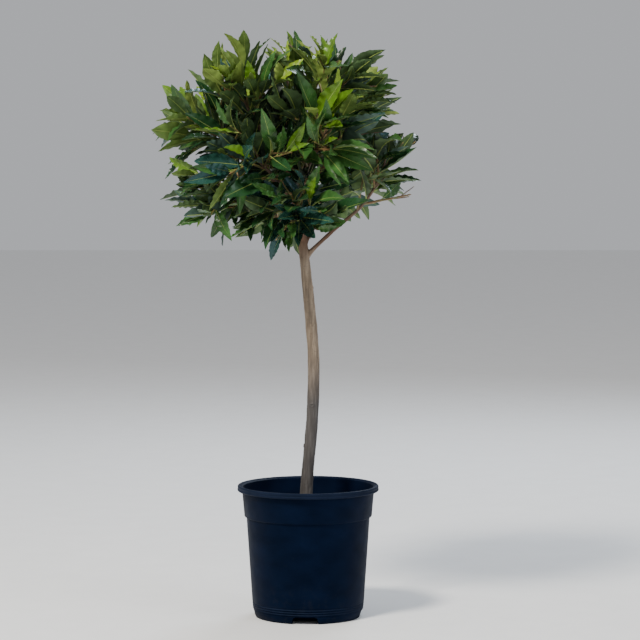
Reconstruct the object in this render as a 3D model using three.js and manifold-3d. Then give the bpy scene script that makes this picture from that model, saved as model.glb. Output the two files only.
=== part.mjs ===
// A standard bay tree in a black nursery pot, in millimetres, +Z up.
// The origin is the middle of the pot's flat underside, +X is to the right and -Y faces the viewer.
// The plant is a bare stem that carries short boughs, and each bough carries one mass of leafy twigs.
import * as THREE from "three";
import { mergeVertices } from "three/addons/utils/BufferGeometryUtils.js";
import Module from "manifold-3d";

const wasm = await Module();
wasm.setup();

// Driving dimensions of the pot
const pot = {
  height: 192,
  rimRadius: 103,
  lipHeight: 8.6,
  collarTopRadius: 96,
  collarFootRadius: 92.9,
  collarDrop: 45,
  stepHeight: 3,
  bodyTopRadius: 89.6,
  bodyFootRadius: 81.6,
  footTopRadius: 80.2,
  footRadius: 76.5,
  footHeight: 22,
  bevel: 2.4,
  wall: 1.9,
  floor: 2.6,
  segments: 32,
};
const notch = { count: 4, turn: -93, width: 37, height: 10.5, depth: 20, corner: 4, overrun: 10 };
const drain = { radius: 5, length: 8, inset: 11, sides: 7 };
const compost = { height: 153, mound: 3.5, shoulder: 1.6, shoulderRadius: 48, seatRadius: 16 };

// Driving dimensions of the stem and its limbs
const seatGap = 0.3;
const trunk = {
  line: [
    [-5, 0, 143],
    [-0.6, 0, 212],
    [5.7, 1, 284],
    [8.2, 2, 368],
    [2.2, 2, 452],
    [-4.6, 1, 517],
    [-12, 2, 583],
    [-20, 3, 649],
  ],
  footRadius: 8.8,
  tipRadius: 3.8,
  taper: 3.6,
  flare: 6,
  flareHeight: 15,
  buried: 20,
  sides: 10,
  steps: 20,
};
const bough = { sides: 5, steps: 4, taper: 0.7, arch: 0.05 };

// Each mass of foliage hangs on one bough: where the bough leaves the trunk, the bough's tip, and the tip
// of the leading twig. Bearings turn from +X towards +Y, and reach is measured from the trunk's line.
const masses = [
  mass("left", 603, 3.4, [190, 72, 667], [190, 138, 717], 378, 1),
  mass("upper_left", 625, 3.0, [212, 50, 699], [212, 96, 771], 337, 1),
  mass("top", 649, 0, [122, 0, 649], [122, 24, 785], 727, 1),
  mass("upper_right", 633, 2.9, [314, 40, 707], [314, 68, 779], 574, 1),
  mass("right", 591, 3.2, [8, 58, 677], [8, 88, 755], 777, 1),
  mass("low_right", 522, 3.3, [350, 76, 584], [350, 134, 667], 815, 0.6),
  mass("lower_left", 559, 3.2, [203, 54, 593], [203, 118, 605], 189, 1),
  mass("low_front", 548, 3.0, [270, 42, 573], [270, 102, 585], 396, 1),
  mass("front_left", 587, 3.0, [241, 50, 633], [241, 118, 669], 541, 1),
  mass("front_right", 603, 3.0, [294, 44, 647], [294, 116, 707], 24, 1),
  mass("back_left", 583, 3.1, [124, 58, 645], [124, 120, 707], 694, 1),
  mass("back_right", 615, 3.1, [66, 56, 671], [66, 124, 717], 152, 1),
  mass("back_low", 565, 3.0, [94, 50, 593], [94, 118, 613], 317, 1),
  mass("low_back_right", 539, 3.0, [48, 56, 589], [48, 112, 637], 595, 1),
];
const stem = { radius: 2.5, tipRadius: 1.6, steps: 4, bend: 0.45, middle: 0.72 };
const twig = {
  count: 6,
  span: [0.12, 0.86],
  length: [48, 72],
  shortening: [1.1, 0.75],
  angle: [34, 62],
  jitter: 30,
  lift: 0.3,
  radius: 1.9,
  tipRadius: 1.4,
  sides: 3,
  limbGap: 4,
  checks: 6,
  tries: 12,
};
const leaf = {
  onTwig: 6,
  onStem: 8,
  span: [0.26, 1.04],
  length: [60, 92],
  youngLength: [44, 60],
  youngFrom: 0.93,
  lowerLength: 0.88,
  slimness: [0.33, 0.4],
  lean: [74, 24],
  jitter: 14,
  outward: 0.22,
  facing: { stem: 0.9, up: 0.45, outward: 0.35 },
  roll: 0.4,
  droop: [0.04, 0.17],
  fold: 0.1,
  thickness: 1,
  nudge: 25,
  tries: 11,
  near: 0.64,
  tipGap: 5,
  limbGap: 4.7,
};
// Places along a leaf and its fullness there: where its solid has corners, and where its fit is tested.
const leafSections = [
  [0.36, 0.94],
  [0.72, 0.74],
];
const leafStations = [
  [0.28, 0.72],
  [0.4, 0.95],
  [0.52, 0.96],
  [0.64, 0.84],
  [0.76, 0.65],
  [0.88, 0.35],
  [1, 0],
];
const acrossLeaf = [-1, -0.5, 0, 0.5, 1];
const leafFaces = [
  [0, 2, 1],
  [0, 1, 3],
  [0, 3, 2],
  [1, 2, 5],
  [1, 5, 4],
  [1, 4, 6],
  [1, 6, 3],
  [2, 3, 6],
  [2, 6, 5],
  [4, 5, 7],
  [4, 7, 6],
  [5, 6, 7],
];
const leafEdges = leafFaces.flatMap(([a, b, c]) => [[a, b], [b, c], [c, a]]).filter(([a, b]) => a < b);
const crown = {
  centre: new THREE.Vector3(-26, 0, 685),
  reach: new THREE.Vector3(202, 188, 170),
  squareness: 3,
  cellGap: 0.3,
};
// How far apart the seeds of one mass's shoots, of their leaves and of its side twigs lie.
const seedStride = { shoot: 16, leaf: 64, twig: 4096 };
const GOLDEN_TURN = 137.508;
const UP = new THREE.Vector3(0, 0, 1);
const ASIDE = new THREE.Vector3(1, 0, 0);

const look = {
  pot: new THREE.MeshStandardMaterial({ color: 0x10161f, roughness: 0.45, metalness: 0 }),
  compost: new THREE.MeshStandardMaterial({ color: 0x2b2018, roughness: 0.95, metalness: 0 }),
  bark: new THREE.MeshStandardMaterial({ color: 0x7c6a58, roughness: 0.85, metalness: 0 }),
  foliage: new THREE.MeshStandardMaterial({ color: 0x2c4a1c, roughness: 0.4, metalness: 0 }),
};

// One row of the table of masses.
function mass(name, height, radius, tip, leader, seed, leafiness) {
  return { name, height, radius, tip, leader, seed, leafiness };
}

// A seeded stream of numbers from 0 to 1, the same on every run.
function numbers(seed) {
  let state = seed >>> 0;
  return () => {
    state = (state + 0x6d2b79f5) >>> 0;
    let t = state;
    t = Math.imul(t ^ (t >>> 15), t | 1);
    t ^= t + Math.imul(t ^ (t >>> 7), t | 61);
    return ((t ^ (t >>> 14)) >>> 0) / 4294967296;
  };
}

function between([low, high], share) {
  return low + (high - low) * share;
}

function degrees(angle) {
  return THREE.MathUtils.degToRad(angle);
}

// Solids: joining and cutting closed geometries.
function solid(geometry) {
  const bare = geometry.clone();
  bare.deleteAttribute("normal");
  bare.deleteAttribute("uv");
  const merged = mergeVertices(bare, 1e-4);
  return new wasm.Manifold(
    new wasm.Mesh({
      numProp: 3,
      vertProperties: new Float32Array(merged.attributes.position.array),
      triVerts: new Uint32Array(merged.index.array),
    }),
  );
}

function geometryOf(made) {
  const { numProp, vertProperties, triVerts } = made.getMesh();
  const count = vertProperties.length / numProp;
  const points = new Float32Array(count * 3);
  for (let i = 0; i < count; i++) {
    points.set(vertProperties.subarray(i * numProp, i * numProp + 3), i * 3);
  }
  return new THREE.BufferGeometry()
    .setAttribute("position", new THREE.BufferAttribute(points, 3))
    .setIndex(new THREE.BufferAttribute(triVerts, 1));
}

function largest(made) {
  return made.decompose().reduce((best, body) => (body.volume() > best.volume() ? body : best));
}

function meshed(name, made, material) {
  const mesh = new THREE.Mesh(geometryOf(made), material);
  mesh.name = name;
  return mesh;
}

// The pot: a tapered bucket with a rolled lip, a collar, and notches in its foot with the drain holes.
function turned(profile) {
  const points = profile.map(([r, z]) => new THREE.Vector2(r, z));
  return solid(new THREE.LatheGeometry(points, pot.segments).rotateX(Math.PI / 2));
}

function outerProfile() {
  const collarFoot = pot.height - pot.collarDrop;
  const lipFoot = pot.height - pot.lipHeight;
  const footStep = pot.footTopRadius - pot.footRadius;
  return [
    [0, 0],
    [pot.footRadius, 0],
    [pot.footRadius + 0.4 * footStep, notch.height + pot.wall],
    [pot.footTopRadius, notch.height + 2 * pot.wall],
    [pot.footTopRadius, pot.footHeight - pot.wall],
    [pot.bodyFootRadius, pot.footHeight],
    [pot.bodyTopRadius, collarFoot - pot.stepHeight],
    [pot.collarFootRadius, collarFoot],
    [pot.collarTopRadius, lipFoot],
    [pot.rimRadius, lipFoot],
    [pot.rimRadius, pot.height - pot.bevel],
    [pot.rimRadius - pot.bevel, pot.height],
    [pot.collarTopRadius, pot.height],
  ];
}

// The inside wall, from the top edge down to the floor, drawn in by a gap.
function innerProfile(gap) {
  const collarFoot = pot.height - pot.collarDrop;
  const thickness = pot.wall + gap;
  return [
    [pot.collarTopRadius - thickness, pot.height - pot.bevel],
    [pot.collarFootRadius - thickness, collarFoot],
    [pot.bodyTopRadius - thickness, collarFoot - pot.stepHeight],
    [pot.footTopRadius - thickness, notch.height + 2 * pot.wall],
    [pot.footRadius - thickness, pot.floor + gap],
    [0, pot.floor + gap],
  ];
}

// The space of each notch in the foot, grown by a margin on its inner sides.
function notchBlocks(margin) {
  const half = notch.width / 2 + margin;
  const top = notch.height + margin;
  const arch = new THREE.Shape()
    .moveTo(-half, -1)
    .lineTo(half, -1)
    .lineTo(half, top - notch.corner)
    .quadraticCurveTo(half, top, half - notch.corner, top)
    .lineTo(-half + notch.corner, top)
    .quadraticCurveTo(-half, top, -half, top - notch.corner);
  const depth = notch.depth + margin + notch.overrun;
  const block = new THREE.ExtrudeGeometry(arch, { depth, bevelEnabled: false, curveSegments: 2 })
    .rotateX(Math.PI / 2)
    .rotateZ(Math.PI / 2)
    .translate(pot.footRadius - notch.depth - margin, 0, 0);
  return spread(block);
}

function spread(geometry) {
  const copies = [];
  for (let i = 0; i < notch.count; i++) {
    const turn = notch.turn + (i * 360) / notch.count;
    copies.push(solid(geometry.clone().rotateZ(degrees(turn))));
  }
  return wasm.Manifold.union(copies);
}

function drainHoles() {
  const hole = new THREE.CylinderGeometry(drain.radius, drain.radius, drain.length, drain.sides)
    .rotateX(Math.PI / 2)
    .translate(pot.footRadius - drain.inset, 0, notch.height);
  return spread(hole);
}

function potBody() {
  const outer = outerProfile();
  const filled = turned([...outer, [0, pot.height]]);
  const shell = turned([...outer, ...innerProfile(0)]);
  const ceilings = notchBlocks(pot.wall).intersect(filled);
  return shell.add(ceilings).subtract(notchBlocks(0)).subtract(drainHoles());
}

// The compost fills the pot to its level, with a slight mound that the trunk stands on.
function compostBody() {
  const inner = innerProfile(seatGap);
  const top = compost.height;
  const wallAt = (z) => {
    const i = inner.findIndex(([, height]) => height <= z);
    const [[r1, z1], [r0, z0]] = [inner[i - 1], inner[i]];
    return r0 + ((r1 - r0) * (z - z0)) / (z1 - z0);
  };
  const filled = turned([
    [0, pot.floor + seatGap],
    ...inner.slice(0, -1).filter(([, z]) => z < top).reverse(),
    [wallAt(top), top],
    [compost.shoulderRadius, top + compost.shoulder],
    [compost.seatRadius, top + compost.mound],
    [0, top + compost.mound],
  ]);
  return largest(filled.subtract(notchBlocks(pot.wall + seatGap)));
}

// A limb: rings of corners along a curve, closed at both ends.
function limbGeometry(curve, radiusAt, sides, steps) {
  const start = curve.getTangent(0);
  const side = Math.abs(start.y) < 0.7 ? new THREE.Vector3(0, 1, 0) : new THREE.Vector3(1, 0, 0);
  const corners = [];
  for (let i = 0; i <= steps; i++) {
    const t = i / steps;
    const centre = curve.getPoint(t);
    const along = curve.getTangent(t);
    const first = new THREE.Vector3().crossVectors(side, along).normalize();
    const second = new THREE.Vector3().crossVectors(along, first);
    for (let k = 0; k < sides; k++) {
      const turn = (k / sides) * 2 * Math.PI;
      const radius = radiusAt(t);
      const corner = centre.clone().addScaledVector(first, radius * Math.cos(turn));
      corners.push(...corner.addScaledVector(second, radius * Math.sin(turn)));
    }
  }
  const faces = [];
  for (let i = 0; i < steps; i++) {
    for (let k = 0; k < sides; k++) {
      const [a, b] = [i * sides + k, i * sides + ((k + 1) % sides)];
      faces.push(a, b, b + sides, a, b + sides, a + sides);
    }
  }
  for (let k = 1; k < sides - 1; k++) {
    faces.push(0, k + 1, k);
    faces.push(steps * sides, steps * sides + k, steps * sides + k + 1);
  }
  return new THREE.BufferGeometry()
    .setAttribute("position", new THREE.Float32BufferAttribute(corners, 3))
    .setIndex(faces);
}

const trunkCurve = new THREE.CatmullRomCurve3(
  trunk.line.map((p) => new THREE.Vector3(...p)),
  false,
  "catmullrom",
  0.5,
);

function trunkRadius(t) {
  const height = t * (trunkCurve.points.at(-1).z - trunkCurve.points[0].z);
  const flare = trunk.flare * Math.exp(-height / trunk.flareHeight);
  return THREE.MathUtils.lerp(trunk.footRadius, trunk.tipRadius, Math.pow(t, trunk.taper)) + flare;
}

// The point on the trunk's line at a height, by halving.
function trunkPoint(height) {
  let [low, high] = [0, 1];
  for (let i = 0; i < 40; i++) {
    const middle = (low + high) / 2;
    if (trunkCurve.getPoint(middle).z < height) low = middle;
    else high = middle;
  }
  return trunkCurve.getPoint(low);
}

function trunkSolid(growth) {
  const radiusAt = (t) => trunkRadius(t) + growth;
  const whole = solid(limbGeometry(trunkCurve, radiusAt, trunk.sides, trunk.steps));
  const ground = compost.height + compost.mound + seatGap;
  const below = new THREE.BoxGeometry(pot.rimRadius, pot.rimRadius, 2 * trunk.buried);
  return whole.subtract(solid(below.translate(0, 0, ground - trunk.buried)));
}

// A place given by its bearing, its reach from the trunk's line and its height.
function place([bearing, reach, height]) {
  const turn = degrees(bearing);
  const foot = trunkPoint(height);
  return new THREE.Vector3(foot.x + reach * Math.cos(turn), foot.y + reach * Math.sin(turn), height);
}

function boughCurve(row) {
  const base = trunkPoint(row.height);
  const tip = place(row.tip);
  const bend = base.clone().lerp(tip, 0.5).addScaledVector(UP, bough.arch * base.distanceTo(tip));
  return new THREE.QuadraticBezierCurve3(base, bend, tip);
}

// The leading twig of a mass goes on from the bough's tip, or from the trunk's.
function stemCurve(row) {
  const limb = row.radius ? boughCurve(row) : trunkCurve;
  const along = limb.getTangent(1);
  const start = limb.getPoint(1).addScaledVector(along, seatGap);
  const tip = place(row.leader);
  const bend = start.clone().addScaledVector(along, stem.bend * start.distanceTo(tip));
  return new THREE.QuadraticBezierCurve3(start, bend, tip);
}

// What the foliage stays clear of: every limb as short straight pieces with a radius.
const limbPieces = [];
function addLimbPieces(curve, radiusAt, steps) {
  for (let i = 0; i < steps; i++) {
    const [t, next] = [i / steps, (i + 1) / steps];
    limbPieces.push({ from: curve.getPoint(t), to: curve.getPoint(next), radius: radiusAt(t) });
  }
}
addLimbPieces(trunkCurve, trunkRadius, trunk.steps);
for (const row of masses.filter((m) => m.radius)) {
  addLimbPieces(boughCurve(row), () => row.radius, bough.steps);
}

function distanceToPiece(point, { from, to }) {
  const along = to.clone().sub(from);
  const share = point.clone().sub(from).dot(along) / along.lengthSq();
  return point.distanceTo(from.clone().addScaledVector(along, THREE.MathUtils.clamp(share, 0, 1)));
}

function clearOfLimbs(point, gap) {
  return limbPieces.every((piece) => distanceToPiece(point, piece) > piece.radius + gap);
}

// Each mass keeps to the part of the crown that is nearer to its own middle than to any other's.
for (const row of masses) row.middle = stemCurve(row).getPoint(stem.middle);

function inOwnSpace(point, row, margin) {
  const out = point.clone().sub(crown.centre).divide(crown.reach).toArray();
  if (out.reduce((sum, v) => sum + Math.pow(Math.abs(v), crown.squareness), 0) > 1) return false;
  return masses.every((other) => {
    if (other === row) return true;
    const away = other.middle.clone().sub(row.middle);
    const halfway = row.middle.clone().lerp(other.middle, 0.5);
    return point.clone().sub(halfway).dot(away) / away.length() < -(margin + crown.cellGap);
  });
}

// A leaf: its root, its direction, its upper side and its sizes.
function leafLine(blade, t) {
  return blade.root
    .clone()
    .addScaledVector(blade.along, blade.length * t)
    .addScaledVector(blade.upper, -blade.droop * blade.length * t * t);
}

function leafPoint(blade, t, across, fullness) {
  const half = 0.5 * blade.width * fullness;
  return leafLine(blade, t)
    .addScaledVector(blade.side, across * half)
    .addScaledVector(blade.upper, Math.abs(across) * leaf.fold * 2 * half);
}

// A leaf's solid has its root, two edges and a keel at each section, and its tip.
function leafCorners(blade) {
  const corners = [blade.root];
  for (const [t, fullness] of leafSections) {
    corners.push(leafPoint(blade, t, 1, fullness));
    corners.push(leafPoint(blade, t, -1, fullness));
    corners.push(leafLine(blade, t).addScaledVector(blade.upper, -leaf.thickness));
  }
  return [...corners, leafLine(blade, 1)];
}

function leafGeometry(blade) {
  return new THREE.BufferGeometry().setFromPoints(blade.corners).setIndex(leafFaces.flat());
}

// Six times the signed volume of the solid between four points.
function volume(a, b, c, d) {
  const [x, y, z] = [a.x - d.x, a.y - d.y, a.z - d.z];
  const [ux, uy, uz] = [b.x - d.x, b.y - d.y, b.z - d.z];
  const [vx, vy, vz] = [c.x - d.x, c.y - d.y, c.z - d.z];
  return x * (uy * vz - uz * vy) + y * (uz * vx - ux * vz) + z * (ux * vy - uy * vx);
}

function pierces(from, to, p, q, r) {
  if (volume(p, q, r, from) * volume(p, q, r, to) >= 0) return false;
  const turn = volume(from, to, p, q);
  return turn * volume(from, to, q, r) > 0 && turn * volume(from, to, r, p) > 0;
}

function anyPierces(segments, corners) {
  const faces = leafFaces.map((face) => face.map((i) => corners[i]));
  return segments.some(([from, to]) => faces.some(([p, q, r]) => pierces(from, to, p, q, r)));
}

function squareTo(direction, along) {
  return direction.clone().addScaledVector(along, -direction.dot(along));
}

// A direction that leaves another at an angle, turned round it from its upper side.
function branching(from, angle, turn) {
  const first = squareTo(Math.abs(from.z) < 0.9 ? UP : ASIDE, from).normalize();
  const second = new THREE.Vector3().crossVectors(from, first);
  return from
    .clone()
    .multiplyScalar(Math.cos(angle))
    .addScaledVector(first, Math.sin(angle) * Math.cos(turn))
    .addScaledVector(second, Math.sin(angle) * Math.sin(turn));
}

// One try at a leaf on a twig: share is its place from the twig's base to its tip.
function tryLeaf(shoot, share, spin, next) {
  const root = shoot.curve.getPoint(share);
  const from = shoot.curve.getTangent(share);
  const turn = degrees(spin + (next() - 0.5) * 2 * leaf.jitter);
  const lean = degrees(between(leaf.lean, share) + (next() - 0.5) * 2 * leaf.jitter);
  const outward = root.clone().sub(crown.centre).normalize();
  const along = branching(from, lean, turn).addScaledVector(outward, leaf.outward).normalize();
  const upper = squareTo(from, along)
    .multiplyScalar(leaf.facing.stem)
    .addScaledVector(squareTo(UP, along), leaf.facing.up)
    .addScaledVector(squareTo(outward, along), leaf.facing.outward)
    .normalize();
  const roll = (next() - 0.5) * 2 * leaf.roll;
  upper.multiplyScalar(Math.cos(roll));
  upper.addScaledVector(new THREE.Vector3().crossVectors(upper, along), Math.tan(roll)).normalize();
  const side = new THREE.Vector3().crossVectors(upper, along);
  const lengths = share > leaf.youngFrom ? leaf.youngLength : leaf.length;
  const length = between(lengths, next()) * between([leaf.lowerLength, 1], share);
  const width = length * between(leaf.slimness, next());
  return { root, along, upper, side, length, width, droop: between(leaf.droop, next()) };
}

const leafSamples = leafStations.flatMap(([t, fullness]) =>
  acrossLeaf.map((across) => [t, across, fullness]),
);

function leafFits(blade, row, placed, axes) {
  blade.corners = leafCorners(blade);
  if (!blade.corners.slice(1).every((p) => inOwnSpace(p, row, 0))) return false;
  const samples = leafSamples.map(([t, across, fullness]) => leafPoint(blade, t, across, fullness));
  if (!samples.every((p) => clearOfLimbs(p, leaf.limbGap))) return false;
  blade.edges = leafEdges.map(([a, b]) => [blade.corners[a], blade.corners[b]]);
  return !anyPierces(axes, blade.corners) && placed.every((other) => clearOfLeaf(blade, other));
}

// The keels tell leaves that are far apart; near ones keep their outer corners apart and never cross.
function clearOfLeaf(blade, other) {
  const apart = blade.corners[3].distanceTo(other.corners[3]);
  if (apart > leaf.near * (blade.length + other.length)) return true;
  const outer = other.corners.slice(4);
  const close = blade.corners.slice(4).some((p) => outer.some((q) => p.distanceTo(q) < leaf.tipGap));
  return !close && !anyPierces(blade.edges, other.corners) && !anyPierces(other.edges, blade.corners);
}

// Leaves in a spiral round a twig. One that fits nowhere is skipped.
function growLeaves(shoot, row, placed, axes) {
  for (let k = 0; k < shoot.count; k++) {
    const share = between(leaf.span, (k + 0.5) / shoot.count);
    const next = numbers(shoot.seed * seedStride.leaf + k);
    for (let i = 0; i < leaf.tries; i++) {
      const spin = shoot.spin + k * GOLDEN_TURN + i * leaf.nudge * (i % 2 ? 1 : -1);
      const blade = tryLeaf(shoot, share, spin, next);
      if (!leafFits(blade, row, placed, axes)) continue;
      placed.push(blade);
      shoot.leaves.push(blade);
      break;
    }
  }
}

function twigFits(curve, row) {
  for (let i = 1; i <= twig.checks; i++) {
    const point = curve.getPoint(i / twig.checks);
    if (!inOwnSpace(point, row, twig.radius)) return false;
    if (!clearOfLimbs(point, twig.radius + twig.limbGap)) return false;
  }
  return true;
}

// One try at a side twig, which leaves the leading twig and is turned up towards the light.
function tryTwig(lead, share, spin, next) {
  const start = lead.curve.getPoint(share);
  const from = lead.curve.getTangent(share);
  const turn = degrees(spin + (next() - 0.5) * 2 * twig.jitter);
  const angle = degrees(between(twig.angle, next()));
  const length = between(twig.length, next()) * between(twig.shortening, share);
  const along = branching(from, angle, turn).addScaledVector(UP, twig.lift).normalize();
  return new THREE.LineCurve3(start, start.clone().addScaledVector(along, length));
}

// Side twigs in a spiral round the leading twig. One that fits nowhere is skipped.
function growTwigs(lead, row) {
  const shoots = [];
  const radii = [twig.radius, twig.tipRadius];
  const count = Math.round(leaf.onTwig * row.leafiness);
  for (let k = 0; k < twig.count; k++) {
    const share = between(twig.span, k / (twig.count - 1));
    const next = numbers(row.seed * seedStride.twig + k);
    for (let i = 0; i < twig.tries; i++) {
      const curve = tryTwig(lead, share, lead.spin + k * GOLDEN_TURN, next);
      if (!twigFits(curve, row)) continue;
      const seed = lead.seed + k + 1;
      shoots.push({ curve, steps: 1, radii, seed, spin: 360 * next(), count, leaves: [] });
      break;
    }
  }
  return shoots;
}

// One mass: its leading twig, its side twigs, and then the leaves of each.
function growMass(row) {
  const lead = {
    curve: stemCurve(row),
    steps: stem.steps,
    radii: [stem.radius, stem.tipRadius],
    seed: row.seed * seedStride.shoot,
    spin: 360 * numbers(row.seed)(),
    count: Math.round(leaf.onStem * row.leafiness),
    leaves: [],
  };
  const shoots = [lead, ...growTwigs(lead, row)];
  const placed = [];
  for (const shoot of shoots) {
    const axes = shoots.filter((other) => other !== shoot).flatMap(axisOf);
    growLeaves(shoot, row, placed, axes);
  }
  return shoots;
}

function axisOf({ curve, steps }) {
  const points = curve.getPoints(steps);
  return points.slice(1).map((point, i) => [points[i], point]);
}

function foliageBody(shoots) {
  const pieces = shoots.map(({ curve, steps, radii: [from, to] }) =>
    solid(limbGeometry(curve, (t) => THREE.MathUtils.lerp(from, to, t), twig.sides, steps)),
  );
  for (const blade of shoots.flatMap((shoot) => shoot.leaves)) pieces.push(solid(leafGeometry(blade)));
  return largest(wasm.Manifold.union(pieces));
}

const tree = new THREE.Group();
tree.add(meshed("pot", potBody(), look.pot));
tree.add(meshed("compost", compostBody(), look.compost));
tree.add(meshed("trunk", trunkSolid(0), look.bark));

const trunkRoom = trunkSolid(seatGap);
for (const row of masses.filter((m) => m.radius)) {
  const taper = (t) => row.radius * THREE.MathUtils.lerp(1, bough.taper, t);
  const limb = solid(limbGeometry(boughCurve(row), taper, bough.sides, bough.steps));
  tree.add(meshed("bough_" + row.name, largest(limb.subtract(trunkRoom)), look.bark));
}

for (const row of masses) {
  tree.add(meshed("foliage_" + row.name, foliageBody(growMass(row)), look.foliage));
}

export default tree;
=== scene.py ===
"""Looks of a standard bay tree in a nursery pot, in metres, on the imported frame.

The leafy head grows by the seeded rule of the part's source, carried on to finer twigs.
"""

import logging
import math
from dataclasses import astuple, dataclass, field, replace
from enum import Enum
from typing import Sequence

import bmesh
import bpy
import numpy as np
from mathutils import Matrix, Vector, noise

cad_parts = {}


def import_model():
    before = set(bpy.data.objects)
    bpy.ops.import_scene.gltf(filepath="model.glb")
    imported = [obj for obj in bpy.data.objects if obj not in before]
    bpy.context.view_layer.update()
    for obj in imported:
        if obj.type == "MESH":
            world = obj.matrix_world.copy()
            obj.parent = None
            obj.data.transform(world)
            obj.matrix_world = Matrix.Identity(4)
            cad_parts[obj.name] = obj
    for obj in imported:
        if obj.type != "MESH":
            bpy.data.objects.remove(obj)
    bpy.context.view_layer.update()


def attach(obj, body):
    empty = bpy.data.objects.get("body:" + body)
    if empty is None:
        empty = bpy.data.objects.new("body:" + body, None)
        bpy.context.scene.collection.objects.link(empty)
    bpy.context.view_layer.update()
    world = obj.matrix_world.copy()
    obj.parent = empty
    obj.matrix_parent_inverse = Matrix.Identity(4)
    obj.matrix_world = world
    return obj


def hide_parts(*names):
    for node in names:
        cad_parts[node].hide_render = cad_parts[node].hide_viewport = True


LOG = logging.getLogger("bay_tree")
MM = 0.001
UP = np.array([0.0, 0.0, 1.0])
ASIDE = np.array([1.0, 0.0, 0.0])
STEEP = 0.9
FULL_TURN = 2 * math.pi
GOLDEN_TURN = 137.508
Points = np.ndarray
Piece = bpy.types.Object
Material = bpy.types.Material
Socket = bpy.types.NodeSocket
Span = tuple[float, float]
Triple = tuple[float, float, float]
Colour = Triple
WHITE: Colour = (1, 1, 1)


def mixed(low: float | Points, high: float | Points, share: float | Points) -> float | Points:
    """Returns the value that lies a share of the way from low to high."""
    return low + (high - low) * share


def unit(direction: Points) -> Points:
    """Returns a direction, or an array of them, at length 1."""
    return direction / np.linalg.norm(direction, axis=-1, keepdims=True)


def square_to(direction: Points, along: Points) -> Points:
    """Returns what is left of a direction once its share along another is taken off."""
    return direction - along * float(direction @ along)


def steady_axis(direction: Points) -> Points:
    """Returns the upright axis, or a level one where a direction is too near upright."""
    return UP if abs(direction[2]) < STEEP else ASIDE


def level_way(turn: float) -> Points:
    """Returns the level direction at a bearing in radians."""
    return np.array([math.cos(turn), math.sin(turn), 0.0])


def branching(source: Points, angle: float, turn: float) -> Points:
    """Gives a direction that leaves another at an angle, turned round it from its upper side.

    Args:
        source: the direction that is left, at length 1.
        angle: the angle between the two, in radians.
        turn: the turn round the source, in radians.

    Returns:
        The new direction, at length 1.
    """
    first = unit(square_to(steady_axis(source), source))
    second = np.cross(source, first)
    spread = math.cos(turn) * first + math.sin(turn) * second
    return math.cos(angle) * source + math.sin(angle) * spread


class SeededNumbers:
    """A seeded stream of numbers from 0 to 1, the same on every run."""

    word = 0xFFFFFFFF
    stride = 0x6D2B79F5

    def __init__(self, seed: int) -> None:
        """Starts the stream at a seed."""
        self.state = seed & self.word

    def next(self) -> float:
        """Mixes the bits of the next state.

        Returns:
            The next number of the stream.
        """
        self.state = (self.state + self.stride) & self.word
        t = self.state
        t = ((t ^ (t >> 15)) * (t | 1)) & self.word
        t ^= (t + (((t ^ (t >> 7)) * (t | 61)) & self.word)) & self.word
        return ((t ^ (t >> 14)) & self.word) / (self.word + 1)

    def within(self, low: float, high: float) -> float:
        """Returns the next number, laid between two limits."""
        return mixed(low, high, self.next())

    def around(self, reach: float) -> float:
        """Returns the next number, laid evenly on both sides of zero."""
        return (self.next() - 0.5) * 2 * reach


class Stream(Enum):
    """What a leaf's or a twig's own seed is drawn on for: a factor and a shift of that seed."""

    BLADE = (7, 3)
    SPRAY = (31, 5)
    LINE = (13, 1)
    BUDS = (17, 2)

    def numbers(self, seed: int) -> SeededNumbers:
        """Returns the stream that a seed starts for this use."""
        factor, shift = self.value
        return SeededNumbers(seed * factor + shift)


# Lines through space


class Curve:
    """A line through space, followed from 0 to 1."""

    def point(self, t: float) -> Points:
        """Returns the point at a share of the way."""
        raise NotImplementedError

    def tangent(self, t: float) -> Points:
        """Returns the direction at a share of the way, at length 1."""
        return unit(self.point(min(t + 1e-4, 1.0)) - self.point(max(t - 1e-4, 0.0)))

    def points(self, steps: int) -> Points:
        """Returns the ends of a number of even steps."""
        return np.array([self.point(i / steps) for i in range(steps + 1)])


@dataclass(frozen=True)
class StraightLine(Curve):
    """A straight line between two points."""

    start: Points
    end: Points

    def point(self, t: float) -> Points:
        """Returns the point at a share of the way."""
        return self.start + (self.end - self.start) * t

    def tangent(self, t: float) -> Points:
        """Returns the line's direction."""
        return unit(self.end - self.start)


@dataclass(frozen=True)
class BentLine(Curve):
    """A line that bends once, towards a point between its ends."""

    start: Points
    bend: Points
    end: Points

    def point(self, t: float) -> Points:
        """Returns the point at a share of the way."""
        k = 1 - t
        return k * k * self.start + 2 * k * t * self.bend + t * t * self.end


@dataclass(frozen=True)
class SmoothLine(Curve):
    """A smooth line that passes through each of its knots."""

    knots: Points

    def point(self, t: float) -> Points:
        """Follows the cubic stretch between two knots.

        Args:
            t: the share of the way.

        Returns:
            The point there.
        """
        count = len(self.knots)
        place = (count - 1) * t
        index = min(int(place), count - 2)
        weight = place - index
        before, last = 2 * self.knots[0] - self.knots[1], 2 * self.knots[-1] - self.knots[-2]
        run = np.vstack([before, self.knots, last])[index : index + 4]
        slope, next_slope = 0.5 * (run[2] - run[0]), 0.5 * (run[3] - run[1])
        cube = 2 * run[1] - 2 * run[2] + slope + next_slope
        square = 3 * (run[2] - run[1]) - 2 * slope - next_slope
        return run[1] + weight * (slope + weight * (square + weight * cube))


# The growth rule, in millimetres


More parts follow.
